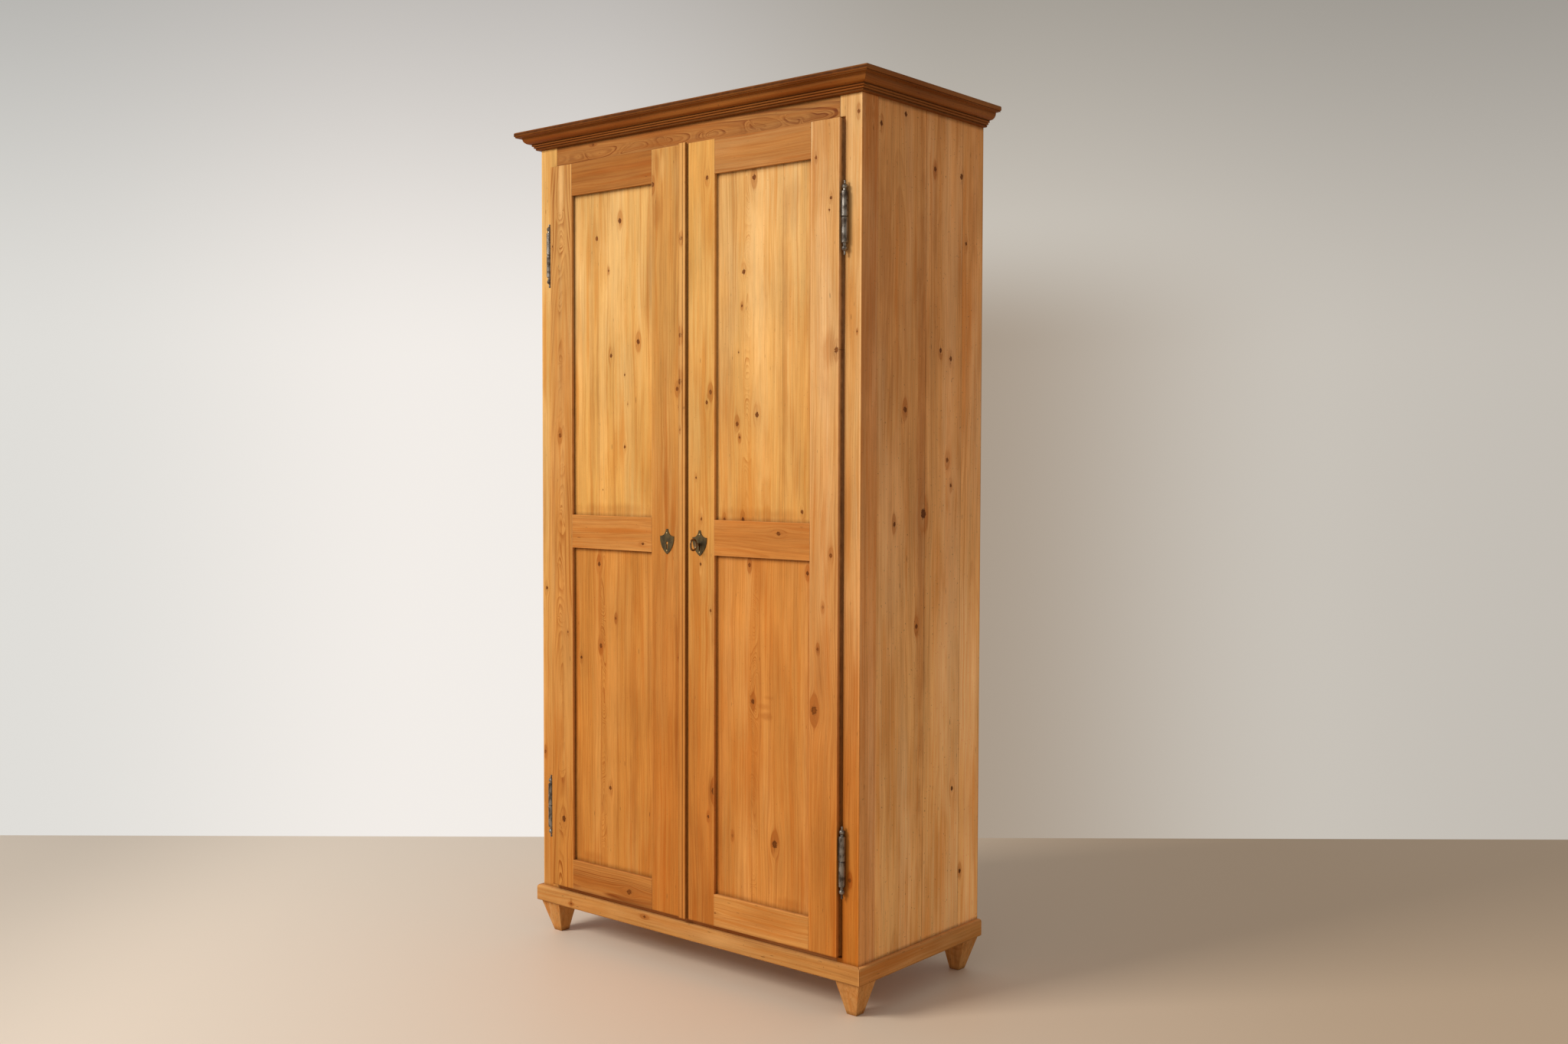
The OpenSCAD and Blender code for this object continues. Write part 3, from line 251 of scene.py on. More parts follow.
def make_pine_group():
    """Waxed pine from place along (U), across (W) and through (T) a board, in metres."""
    net, i = group("pine", ["U", "W", "T", "Push", "Halo", "Core", "Rim", "Dark", "Pale", "Warm",
                            "Seed", "PithW", "PithT", "Slope", "Ring", "Figure", "Deep", "Chain",
                            "Grit", "Colour"],
                   ["Colour", "Roughness", "Height"])
    u, w, t, seed = i["U"], i["W"], i["T"], i["Seed"]

    def tinted(factor):
        return net.mix(1.0, i["Colour"], factor, "MULTIPLY")

    wide = net.noise(u * 2.1 + seed, w * 6.0, t * 6.0, 2.0)
    small = net.noise(u * 9.0 + seed * 1.7, w * 38.0, t * 38.0, 2.0)
    x = w - i["PithW"] - i["Push"] + (wide - 0.5) * 0.022 + (small - 0.5) * 0.0050
    dip = net.noise(u * 1.9 + seed * 2.3, w * 4.0, 5.0, 2.0)
    depth = t + i["PithT"] + i["Slope"] * u + (dip - 0.5) * 0.020
    climb = net.math("FRACT", u * 8.0 + seed * 0.37 + net.noise(u * 9.0, seed, w * 20.0, 1.0) * 1.6)
    links = net.math("MINIMUM", climb / 0.86, (1.0 - climb) / 0.14)
    depth = depth + (links - 0.5) * i["Chain"] * net.step(net.math("ABSOLUTE", x), 0.016, 0.002)
    away = net.math("SQRT", x * x + depth * depth)
    uneven = net.noise(away * 55.0 + seed, seed, 0.0, 1.0)
    n = away / i["Ring"] + uneven * 4.6 + net.noise(away * 210.0, seed, u * 0.7, 1.0) * 0.9
    part = net.math("FRACT", n)
    weight = net.random(net.math("FLOOR", n) + net.math("ROUND", seed))
    late = (net.step(part, 0.10, 0.92) ** 1.6) * net.step(part, 1.0, 0.93) * (0.20 + 0.80 * weight)
    fade = net.noise(u * 2.6 + seed * 4.1, x * 42.0, t * 42.0, 2.0)
    late = late * (0.25 + 0.75 * net.step(fade, 0.36, 0.62))
    band = net.noise(away * 26.0 + seed * 3.1, u * 0.8, 0.0, 2.0)
    fibre = net.noise(u * 15.0 + seed, x * 620.0, t * 620.0, 3.0)
    thread = net.noise(u * 4.5 + seed * 2.9, x * 210.0, t * 210.0, 3.0)
    streak = net.noise(u * 1.7 + seed * 1.3, x * 74.0, t * 74.0, 3.0)
    broad = net.noise(u * 0.9 + seed * 0.7, x * 24.0, t * 24.0, 2.0)
    blotch = net.noise(u * 4.2 + seed * 3.0, w * 11.0, t * 11.0, 3.0)
    pores = net.step(net.noise(u * 46.0 + seed, x * 1250.0, t * 900.0, 1.0), 0.60, 0.74)
    fleck = net.noise(u * 38.0 + seed * 1.9, x * 260.0, t * 260.0, 0.0) + i["Grit"] * 0.045
    fleck = net.step(fleck, 0.850, 0.905)
    ripe = net.mix(i["Deep"], tinted(RIPE), tinted(RIPE_DEEP))
    heartwood = net.step(net.math("ABSOLUTE", x), 0.017, 0.004) * i["Chain"] * 24.0
    drawn = net.math("MINIMUM", late * (i["Figure"] + heartwood) * (1.0 + 1.3 * i["Deep"]), 1.0)
    tone = net.mix(drawn, tinted(EARLY), ripe)
    tone = net.mix(net.step(band, 0.46, 0.70) * 0.38 * i["Figure"], tone, tinted(BANDED))
    cream = net.noise(u * 2.3 + seed * 8.3, w * 13.0, t * 13.0, 2.0) * 0.52 + broad * 0.48
    tone = net.mix(net.step(cream, 0.47, 0.62) * 0.80, tone, tinted(CREAM))
    tan = net.noise(u * 3.1 + seed * 9.1, w * 12.0, t * 12.0, 2.0) * 0.48 + streak * 0.52
    tone = net.mix(net.step(tan, 0.49, 0.64) * 0.80, tone, tinted(TAN))
    pencil = net.step(net.noise(u * 2.4 + seed * 5.3, x * 340.0, t * 340.0, 1.0), 0.61, 0.67)
    tone = net.mix(pencil * net.step(broad, 0.62, 0.40) * 0.28, tone, tinted(PENCIL))
    chalk = net.step(net.noise(u * 2.1 + seed * 6.1, x * 300.0, t * 300.0, 1.0), 0.61, 0.70)
    tone = net.mix(chalk * 0.30, tone, tinted(CHALK))
    vein = net.step(net.noise(u * 0.8 + seed * 7.7, x * 95.0, t * 95.0, 1.0), 0.60, 0.72)
    tone = net.mix(vein * 0.40, tone, tinted(VEIN))
    tone = net.mix(net.step(thread, 0.42, 0.66) * 0.44, tone, tinted(THREAD))
    warm = net.math("MINIMUM", net.math("MAXIMUM", i["Warm"], 0.0), 1.0)
    tone = net.mix(warm, tone, tinted(WARM))
    light = net.math("MINIMUM", net.math("MAXIMUM", i["Warm"] * -1.0, 0.0), 1.0)
    tone = net.mix(light, tone, tinted(LIGHT))
    halo = net.math("MINIMUM", i["Halo"] * (0.10 + 1.2 * net.step(thread, 0.38, 0.66)), 0.62)
    tone = net.mix(halo, tone, tinted(HALO))
    heart = net.mix(net.step(fibre, 0.35, 0.65), HEART, HEART_DARK)
    tone = net.mix(net.math("MINIMUM", i["Core"] * 1.20, 0.94), tone, heart)
    tone = net.mix(i["Rim"] * 0.52, tone, KNOT_RIM)
    life = 1.0 + (fibre - 0.5) * 0.34 + (thread - 0.5) * 0.20 + (streak - 0.5) * 0.46
    life = life + (blotch - 0.5) * 0.50 + (broad - 0.5) * 0.26 - pores * 0.12 - fleck * 0.50
    # dark marks: dirt and dark joints, and painted shade in corners, gaps and along edges, made
    # uneven
    uneven_dark = net.noise(u * 60.0, w * 60.0, t * 60.0 + seed, 4.0)
    dark = net.math("MINIMUM", i["Dark"] * (0.55 + 0.9 * uneven_dark), 0.93)
    # pale marks: worn arrises with a painted highlight on them
    wear_and_highlight = 0.2 + 1.6 * net.noise(u * 35.0, w * 35.0, t * 35.0, 3.0)
    pale = net.math("MINIMUM", i["Pale"] * wear_and_highlight, 0.8)
    tone = net.shade(tone, life)
    tone = net.mix(pale, tone, tinted(RUBBED_AND_LIT))
    tone = net.mix(dark, tone, SOIL_AND_SHADE)
    specks = net.noise(u * 210.0, w * 210.0, t * 210.0 + seed, 2.0)
    specks = net.step(specks, 0.67, 0.76) * i["Grit"]
    tone = net.mix(specks, tone, SPECK)
    smear = net.noise(u * 9.0, w * 16.0, t * 16.0 + seed, 3.0)
    rough = 0.40 + 0.16 * smear + 0.10 * fibre + 0.22 * dark + 0.05 * late
    hand = net.noise(u * 6.0, w * 21.0, seed, 1.0)
    height = fibre * 0.20 - late * 0.12 - pores * 0.12 - fleck * 0.25 + hand * 1.6
    height = height - i["Core"] * 0.20 - i["Rim"] * 0.3 - dark * 0.5 - specks * 0.15
    return outputs(net, Colour=tone, Roughness=rough, Height=height)


KNOT = make_knot_group()
STAIN = make_stain_group()
PINE = make_pine_group()


def pine(name, tone, grain="z", across="x", pith=(0.0, 0.035), slope=0.010, ring=0.0040, seed=0.0,
         figure=0.62, deep=0.0, chain=0.0, knots=(), marks=(), stains=(), low=None, face=0.0,
         boards=(), grit=0.25, span=(0.1, 1.8), flank=None):
    """A pine material for a board that runs along the axis grain and is seen across the axis
    across, on the plane face; lengths are in metres.

    tone is its colour, or with low, the one above span[1], while low is the one below span[0];
    the change between them is partly the wood's own and partly a painted change of the light
    from top to bottom. pith is the place of the rings' middle (across, behind the face), slope
    how far the board leans on it, ring the rings' width, seed the start of its noises. figure is
    how clearly the late wood shows, deep darkens it, chain sets small links along the pith line,
    grit is the amount of specks. knots are (along, across, radius, ink). marks are (axis, place,
    reach, amount): darker where amount is above 0, for dirt, dark joints and painted shade, and
    paler below, for worn arrises with a painted highlight. stains are (along, across, half
    length, half width, amount), redder above 0 and paler below. boards are the seams of a panel
    made of several boards, as (place, shift of the pith, factor on the tone) for the board after
    it. flank is the (x, tone, low) beyond which a post shows its side."""
    through = ({"x", "y", "z"} - {grain, across}).pop()
    material, net, shader = surface(name)
    at = dict(zip("xyz", net.axes("Object")))
    u, w = at[grain], at[across]
    t = at[through] - face
    push = halo = core = rim = dark = pale = warm = 0.0
    seed_wire, pith_wire = seed, pith[0]
    # tone above span[1], low below span[0]: partly the wood's own change, partly a painted change
    # of the light from top to bottom
    colour = tone if low is None else net.mix(net.step(u, span[1], span[0]), tone, low)
    if flank is not None:
        side = net.mix(net.step(u, span[1], span[0]), flank[1], flank[2])
        colour = net.mix(net.math("GREATER_THAN", at["x"], flank[0]), colour, side)
    plain = colour
    for seam, shift, light in boards:
        past = net.math("GREATER_THAN", w, seam)
        seed_wire = past * NEXT_SEED + seed_wire
        pith_wire = past * shift + pith_wire
        colour = net.mix(past, colour, net.shade(plain, light))
        marks = (*marks, (across, seam, *SEAM))
    turn = u
    for k_u, k_w, radius, ink in knots:
        k = net.call(KNOT, U=turn, W=w, AtU=k_u, AtW=k_w, R=radius, Ink=ink)
        turn = u + k["Rim"] * IN_TURN
        push = k["Push"] + push
        halo = net.math("MAXIMUM", k["Halo"], halo)
        core = net.math("MAXIMUM", k["Core"], core)
        rim = net.math("MAXIMUM", k["Rim"], rim)
    for s_u, s_w, half_l, half_w, amount in stains:
        s = net.call(STAIN, U=turn, W=w, AtU=s_u, AtW=s_w, RU=half_l, RW=half_w, Amount=amount)
        turn = u + s["Value"] * IN_TURN
        warm = s["Value"] + warm
    for axis, spot, reach, amount in marks:
        near = net.step(net.math("ABSOLUTE", at[axis] - spot), reach, 0.0) * abs(amount)
        if amount > 0:
            dark = near + dark
        else:
            pale = near + pale
    skin = net.call(PINE, U=u, W=w, T=t, Push=push, Halo=halo, Core=core, Rim=rim, Dark=dark,
                    Pale=pale, Warm=warm, Seed=seed_wire, PithW=pith_wire, PithT=pith[1],
                    Slope=slope, Ring=ring, Figure=figure, Deep=deep, Chain=chain, Grit=grit,
                    Colour=colour)
    net.put(shader.inputs["Base Color"], skin["Colour"])
    net.put(shader.inputs["Roughness"], skin["Roughness"])
    shader.inputs["Specular IOR Level"].default_value = WOOD_SHEEN
    emboss(net, shader, WOOD_BUMP, WOOD_RELIEF, skin["Height"])
    return material


def metal(name, clean, tarnish, rough, spots, metallic=1.0, brush=0.0):
    """Old metal: clean and tarnished patches and rusty or dull spots, with small pits; brush
    is the depth of its fine lines."""
    material, net, shader = surface(name)
    x, y, z = net.axes("Object")
    patch = net.noise(x * 90.0, y * 90.0, z * 60.0, 4.0)
    fine = net.noise(x * 700.0, y * 700.0, z * 700.0, 3.0)
    lines = net.noise(x * 1500.0, y * 200.0, z * 60.0, 2.0)
    dull = net.step(patch + (fine - 0.5) * 0.35, 0.38, 0.66)
    tone = net.mix(dull, clean, tarnish)
    rust = net.step(net.noise(x * 240.0, y * 240.0, z * 240.0, 3.0), 0.60, 0.72)
    tone = net.mix(rust * 0.7, tone, spots)
    net.put(shader.inputs["Base Color"], net.shade(tone, 0.85 + 0.3 * fine))
    net.put(shader.inputs["Roughness"], rough + dull * 0.16 + rust * 0.22 + (fine - 0.5) * 0.14)
    net.put(shader.inputs["Metallic"], metallic - rust * 0.55)
    height = fine * 0.6 + patch * 0.8 + rust * 0.5 + lines * brush
    emboss(net, shader, METAL_BUMP, METAL_RELIEF, height)
    return material


# --- dressing the solids -----------------------------------------------------------------

def smooth_by_angle(name, degrees):
    """A modifier tree that drops stored normals and smooths all but the sharp edges."""
    tree = bpy.data.node_groups.new(name, "GeometryNodeTree")
    tree.interface.new_socket("Geometry", in_out="INPUT", socket_type="NodeSocketGeometry")
    tree.interface.new_socket("Geometry", in_out="OUTPUT", socket_type="NodeSocketGeometry")
    new, link = tree.nodes.new, tree.links.new
    source, sink = new("NodeGroupInput"), new("NodeGroupOutput")
    drop = new("GeometryNodeRemoveAttribute")
    drop.inputs["Name"].default_value = "custom_normal"
    faces, edges = new("GeometryNodeSetShadeSmooth"), new("GeometryNodeSetShadeSmooth")
    edges.domain = "EDGE"
    edges.inputs["Shade Smooth"].default_value = False
    angle, above = new("GeometryNodeInputMeshEdgeAngle"), new("ShaderNodeMath")
    above.operation = "GREATER_THAN"
    above.inputs[1].default_value = math.radians(degrees)
    link(source.outputs[0], drop.inputs["Geometry"])
    link(drop.outputs[0], faces.inputs["Geometry"])
    link(faces.outputs[0], edges.inputs["Geometry"])
    link(angle.outputs["Unsigned Angle"], above.inputs[0])
    link(above.outputs[0], edges.inputs["Selection"])
    link(edges.outputs[0], sink.inputs[0])
    return tree


ALL_SMOOTH = smooth_by_angle("drop_normals", 180)
WELD_DISTANCE = 0.00001
FLAT_ANGLE = 0.3   # degrees: faces within it count as one plane
ARRIS_ANGLE = 35   # degrees: an edge sharper than this is an arris


def soften(node, width):
    """Rounds a solid's arrises as wear does: no mesh is changed, these are modifiers."""
    piece = nodes[node]
    plain = piece.modifiers.new("plain", "NODES")
    plain.node_group = ALL_SMOOTH
    weld = piece.modifiers.new("weld", "WELD")
    weld.merge_threshold = WELD_DISTANCE
    flat = piece.modifiers.new("flat", "DECIMATE")
    flat.decimate_type = "DISSOLVE"
    flat.angle_limit = math.radians(FLAT_ANGLE)
    bevel = piece.modifiers.new("arris", "BEVEL")
    bevel.width = width
    bevel.segments = 2
    bevel.limit_method = "ANGLE"
    bevel.angle_limit = math.radians(ARRIS_ANGLE)
    bevel.use_clamp_overlap = True
    normals = piece.modifiers.new("normals", "WEIGHTED_NORMAL")
    normals.weight = 100
    normals.keep_sharp = True


def dress(node, material):
    """Puts a material on a CAD node."""
    for slot in nodes[node].material_slots:
        slot.link = "OBJECT"
        slot.material = material


# planes and edges of the solids that the marks follow
FRONT_Y, PANEL_Y, POST_Y = -0.213, -0.204, -0.199
STILE_OUT, STILE_IN, LEFT_MEET_IN, RIGHT_MEET_IN = 0.432, 0.359, -0.0967, 0.0927
OPENING, POST_ARRIS = 0.423, 0.4762
PLINTH_FOOT, PLINTH_TOP, DOOR_FOOT, BOTTOM_RAIL = 0.075, 0.112, 0.124, 0.194
MIDDLE_RAIL_FOOT, MIDDLE_RAIL_TOP, TOP_RAIL = 0.937, 1.014, 1.7585
DOOR_TOP, CORNICE_FOOT = 1.8325, 1.879
# reach and amount of the marks that repeat
JOINT_LINE = (.0011, .85)
# a worn arris, paler, with a painted highlight
WORN_AND_LIT_ARRIS = (.0028, -.60)

# In the marks below, amounts above 0 darken: dark joints and seams, dirt, and painted shade along
# the frames' edges, at the doors' feet, in corners and gaps and under overhangs; amounts below 0
# pale the worn arrises and paint a highlight on them.
boards = {
    # the left door
    "left_door_upper_panel": dict(
        tone=(0.694, 0.390, 0.121), low=(0.680, 0.343, 0.083), span=(1.05, 1.72), seed=1.0,
        pith=(-0.262, 0.030), slope=0.016, ring=0.0042, face=PANEL_Y, figure=0.30,
        stains=[(1.58, -0.225, .28, .050, -.40), (1.25, -0.262, .30, .020, -.40),
                (1.30, -0.299, .50, .012, .38), (1.30, -0.337, .40, .010, -.25),
                (1.60, -0.112, .25, .018, .40), (1.029, -0.230, .018, .17, .36),
                (1.25, -0.170, .25, .050, .14)],
        knots=[(1.687, -0.207, .0065, .95), (1.653, -0.283, .006, .9), (1.577, -0.244, .003, .8),
               (1.410, -0.148, .0065, .95), (1.382, -0.236, .0055, .9), (1.337, -0.192, .003, .8),
               (1.173, -0.192, .0045, .9), (1.270, -0.182, .002, .6), (1.074, -0.264, .002, .7)],
        # dirt and painted shade along the frame's edges
        marks=[("x", -STILE_IN, .012, .40), ("x", LEFT_MEET_IN, .012, .34),
               ("z", TOP_RAIL, .014, .40), ("z", MIDDLE_RAIL_TOP, .010, .30)]),
    "left_door_lower_panel": dict(
        tone=(0.557, 0.221, 0.041), seed=4.0, pith=(-0.265, 0.045), slope=-0.020, ring=0.0044,
        face=PANEL_Y, figure=0.50, chain=0.040,
        stains=[(0.60, -0.235, .42, .030, -.50), (0.50, -0.163, .50, .018, .38),
                (0.30, -0.345, .25, .014, .30), (0.78, -0.125, .18, .014, -.25),
                (0.21, -0.300, .015, .05, .35)],
        knots=[(0.901, -0.277, .006, .9), (0.778, -0.222, .004, .8), (0.710, -0.272, .006, .8),
               (0.678, -0.338, .0045, .85), (0.381, -0.241, .0055, .9)],
        # dirt and painted shade along the frame's edges
        marks=[("x", -STILE_IN, .012, .42), ("x", LEFT_MEET_IN, .012, .36),
               ("z", MIDDLE_RAIL_FOOT, .014, .42), ("z", BOTTOM_RAIL, .012, .34)]),
    "left_door_meeting_stile": dict(
        tone=(0.572, 0.277, 0.068), low=(0.509, 0.181, 0.030), span=(0.7, 1.5), seed=7.0,
        pith=(-0.02, 0.030), slope=0.006, ring=0.0034, face=FRONT_Y, figure=0.55,
        knots=[(1.755, -0.094, .0065, .9), (1.300, -0.018, .0055, .85), (1.260, -0.012, .003, .8),
               (0.705, -0.013, .003, .9), (0.305, -0.004, .003, .8)],
        stains=[(1.800, -0.082, .045, .012, .50), (1.790, -0.064, .045, .010, -.65),
                (1.76, -0.020, .07, .020, -.35), (1.700, -0.078, .060, .018, .55),
                (1.30, -0.055, .20, .010, .35), (1.08, -0.052, .10, .012, .45),
                (0.60, -0.020, .30, .008, .40), (0.959, -0.048, .012, .004, -.9)],
        marks=[("x", LEFT_MEET_IN, *WORN_AND_LIT_ARRIS), ("z", DOOR_TOP, .003, -.3),
               ("z", DOOR_FOOT, .004, .3)]),
    "meeting_strip": dict(
        tone=(0.591, 0.290, 0.076), low=(0.486, 0.178, 0.031), span=(0.5, 1.5), seed=8.0,
        pith=(0.02, 0.030), slope=0.004, ring=0.0030, face=-0.219, figure=0.5,
        knots=[(1.628, -0.001, .005, .9), (1.417, -0.003, .006, .85), (1.316, -0.004, .007, .95),
               (1.258, 0.008, .004, .9), (1.210, -0.003, .003, .6)],
        # painted highlights and painted shadow lines along the strip's edges and bead, and painted
        # shade where it meets the door
        marks=[("x", -0.0085, .0020, .70), ("x", -0.0015, .0030, -.55), ("x", 0.0040, .0014, .60),
               ("x", 0.0080, .0026, -.80), ("x", 0.0118, .0012, .55), ("y", -0.213, .0012, .7)]),
    "left_door_hinge_stile": dict(
        tone=(0.580, 0.288, 0.081), low=(0.569, 0.229, 0.043), span=(0.2, 1.7), seed=11.0,
        pith=(-0.398, 0.012), slope=0.034, ring=0.0046, face=FRONT_Y, figure=0.95, deep=0.45,
        chain=0.015,
        stains=[(1.775, -0.396, .085, .0110, -1.3), (1.80, -0.420, .05, .006, .30),
                (1.52, -0.396, .12, .006, -.40), (1.37, -0.396, .10, .007, .45),
                (0.95, -0.398, .10, .006, .40), (0.55, -0.392, .12, .006, .35)],
        knots=[(1.646, -0.425, .0025, .8), (1.200, -0.400, .006, .9), (0.736, -0.375, .0028, .9),
               (0.288, -0.391, .008, .9)],
        marks=[("x", -STILE_OUT, *WORN_AND_LIT_ARRIS), ("x", -STILE_IN, *WORN_AND_LIT_ARRIS),
               ("z", DOOR_FOOT, .004, .3)]),
    "left_door_top_rail": dict(
        tone=(0.358, 0.129, 0.023), grain="x", across="z", seed=13.0, pith=(1.72, 0.020),
        slope=0.004, ring=0.0022, face=FRONT_Y, figure=0.42,
        stains=[(-0.28, 1.80, .08, .012, .20), (-0.17, 1.775, .07, .008, -.25),
                (-0.22, 1.805, .12, .006, -.2)],
        marks=[("x", -STILE_IN, *JOINT_LINE), ("x", LEFT_MEET_IN, *JOINT_LINE),
               ("z", TOP_RAIL, .0026, -.50)]),
    "left_door_middle_rail": dict(
        tone=(0.542, 0.211, 0.043), grain="x", across="z", seed=17.0, pith=(0.99, 0.050),
        slope=0.012, ring=0.0038, face=FRONT_Y, figure=0.6, knots=[(-0.125, 0.954, .004, .9)],
        marks=[("x", -STILE_IN, *JOINT_LINE), ("x", LEFT_MEET_IN, *JOINT_LINE),
               ("z", MIDDLE_RAIL_TOP, .0026, -.60), ("z", MIDDLE_RAIL_FOOT, .0026, -.50)]),
    "left_door_bottom_rail": dict(
        tone=(0.483, 0.185, 0.038), grain="x", across="z", seed=19.0, pith=(0.13, 0.045),
        slope=0.010, ring=0.0036, face=FRONT_Y, figure=0.9, deep=0.75,
        knots=[(-0.170, 0.151, .008, .9)],
        marks=[("x", -STILE_IN, *JOINT_LINE), ("x", LEFT_MEET_IN, *JOINT_LINE),
               ("z", BOTTOM_RAIL, .0028, -.65), ("z", DOOR_FOOT, .006, .35)]),
    # the right door
    "right_door_upper_panel": dict(
        tone=(0.730, 0.406, 0.131), low=(0.692, 0.341, 0.085), span=(1.05, 1.72), seed=23.0,
        pith=(0.180, 0.034), slope=0.018, ring=0.0045, face=PANEL_Y, figure=0.32, chain=0.030,
        stains=[(1.55, 0.203, .30, .036, -.60), (1.25, 0.222, .34, .030, -.50),
                (1.40, 0.283, .55, .013, .42), (1.20, 0.125, .34, .030, .30),
                (1.42, 0.352, .60, .013, .40), (1.68, 0.305, .07, .035, .30),
                (1.029, 0.220, .018, .17, .38)],
        knots=[(1.740, 0.198, .0065, .9), (1.544, 0.169, .006, .9), (1.472, 0.164, .003, .85),
               (1.221, 0.151, .0055, .9), (1.240, 0.207, .0065, .95), (1.192, 0.158, .0035, .8),
               (1.374, 0.155, .0025, .7), (1.037, 0.331, .005, .85), (1.017, 0.168, .0055, .9),
               (1.016, 0.115, .004, .85)],
        # dirt and painted shade along the frame's edges, and a seam line
        marks=[("x", STILE_IN, .012, .42), ("x", RIGHT_MEET_IN, .012, .32),
               ("z", TOP_RAIL, .014, .40), ("z", MIDDLE_RAIL_TOP, .010, .30),
               ("x", 0.278, .0012, .28)]),
    "right_door_lower_panel": dict(
        tone=(0.606, 0.241, 0.049), seed=29.0, pith=(0.201, 0.045), slope=0.020, ring=0.0044,
        face=PANEL_Y, figure=0.50, chain=0.042,
        stains=[(0.45, 0.201, .10, .009, .35), (0.33, 0.199, .10, .008, -.35),
                (0.60, 0.232, .010, .030, .45), (0.62, 0.225, .008, .020, .35),
                (0.64, 0.240, .006, .018, .30), (0.70, 0.130, .20, .015, .25),
                (0.21, 0.300, .015, .05, .35), (0.80, 0.290, .12, .020, -.18),
                (0.55, 0.350, .45, .014, .40), (0.40, 0.115, .30, .012, -.25)],
        knots=[(0.920, 0.187, .005, .9), (0.910, 0.346, .005, .85), (0.628, 0.197, .006, .9),
               (0.329, 0.259, .009, 1.0), (0.329, 0.139, .004, .35)],
        # dirt and painted shade along the frame's edges
        marks=[("x", STILE_IN, .012, .45), ("x", RIGHT_MEET_IN, .012, .36),
               ("z", MIDDLE_RAIL_FOOT, .014, .42), ("z", BOTTOM_RAIL, .012, .34)]),
    "right_door_meeting_stile": dict(
        tone=(0.668, 0.339, 0.083), low=(0.524, 0.184, 0.031), span=(0.2, 1.5), seed=31.0,
        pith=(0.02, 0.028), slope=0.005, ring=0.0036, face=FRONT_Y, figure=0.55,
        knots=[(1.752, 0.071, .0055, .9), (1.269, 0.071, .005, .9), (1.290, 0.082, .006, .7),
               (1.105, 0.039, .003, .8), (1.015, 0.055, .004, .85), (0.916, 0.053, .004, .9),
               (0.816, 0.083, .004, .85), (0.421, 0.093, .009, .95), (0.363, 0.076, .004, .9)],
        stains=[(1.028, 0.056, .020, .006, -.6), (0.900, 0.053, .016, .005, -.5),
                (1.60, 0.040, .15, .012, -.3), (0.80, 0.090, .12, .008, .45),
                (0.30, 0.050, .10, .015, .25)],
        # a worn arris with a painted highlight, and a painted shadow line beside the meeting strip
        marks=[("x", RIGHT_MEET_IN, *WORN_AND_LIT_ARRIS), ("x", 0.0158, .0018, .45),
               ("z", DOOR_FOOT, .004, .3)]),
    "right_door_hinge_stile": dict(
        tone=(0.676, 0.360, 0.124), low=(0.534, 0.185, 0.029), span=(0.2, 1.5), seed=37.0,
        pith=(0.46, 0.030), slope=0.010, ring=0.0038, face=FRONT_Y, figure=0.55,
        stains=[(1.370, 0.405, .050, .028, .50), (1.300, 0.395, .050, .018, .25),
                (1.60, 0.380, .15, .010, -.35), (0.72, 0.385, .10, .012, .25),
                (0.40, 0.400, .15, .010, -.2)],
        knots=[(1.759, 0.372, .004, .9), (1.674, 0.411, .004, .85), (1.650, 0.407, .003, .8),
               (1.367, 0.427, .007, 1.0), (0.950, 0.414, .005, .9), (0.843, 0.394, .004, .35),
               (0.756, 0.381, .004, .85), (0.628, 0.372, .010, .9)],
        marks=[("x", STILE_OUT, *WORN_AND_LIT_ARRIS), ("x", STILE_IN, *WORN_AND_LIT_ARRIS),
               ("z", DOOR_FOOT, .004, .3)]),
    "right_door_top_rail": dict(
        tone=(0.430, 0.176, 0.041), grain="x", across="z", seed=41.0, pith=(1.72, 0.020),
        slope=0.004, ring=0.0022, face=FRONT_Y, figure=0.42,
        marks=[("x", STILE_IN, *JOINT_LINE), ("x", RIGHT_MEET_IN, *JOINT_LINE),
               ("z", TOP_RAIL, .0026, -.50)]),
    "right_door_middle_rail": dict(
        tone=(0.531, 0.200, 0.041), grain="x", across="z", seed=43.0, pith=(0.94, 0.040),
        slope=0.012, ring=0.0038, face=FRONT_Y, figure=0.6, knots=[(0.275, 0.990, .006, .85)],
        marks=[("x", STILE_IN, *JOINT_LINE), ("x", RIGHT_MEET_IN, *JOINT_LINE),
               ("z", MIDDLE_RAIL_TOP, .0026, -.60), ("z", MIDDLE_RAIL_FOOT, .0026, -.50)]),
    "right_door_bottom_rail": dict(
        tone=(0.598, 0.256, 0.060), grain="x", across="z", seed=47.0, pith=(0.12, 0.040),
        slope=-0.012, ring=0.0038, face=FRONT_Y, figure=0.75, deep=0.2,
        knots=[(0.097, 0.153, .003, .6)],
        marks=[("x", STILE_IN, *JOINT_LINE), ("x", RIGHT_MEET_IN, *JOINT_LINE),
               ("z", BOTTOM_RAIL, .0028, -.65), ("z", DOOR_FOOT, .006, .35)]),
    # the carcass
    "left_front_post": dict(
        tone=(0.663, 0.357, 0.099), low=(0.597, 0.267, 0.062), span=(0.2, 1.7), seed=53.0,
        pith=(-0.43, 0.040), slope=0.008, ring=0.0036, face=POST_Y, figure=0.50,
        knots=[(0.835, -0.464, .005, .85), (0.437, -0.472, .005, .85)],
        # a worn arris with a painted highlight; painted shade at the opening behind the door and
        # above the plinth
        marks=[("x", -POST_ARRIS, .0025, -.65), ("x", -OPENING, .002, .3),
               ("z", PLINTH_TOP, .008, .3)]),
    "right_front_post": dict(
        tone=(0.716, 0.391, 0.133), low=(0.502, 0.156, 0.018), span=(0.2, 1.5), seed=59.0,
        pith=(0.49, 0.030), slope=0.008, ring=0.0036, face=POST_Y, figure=0.50,
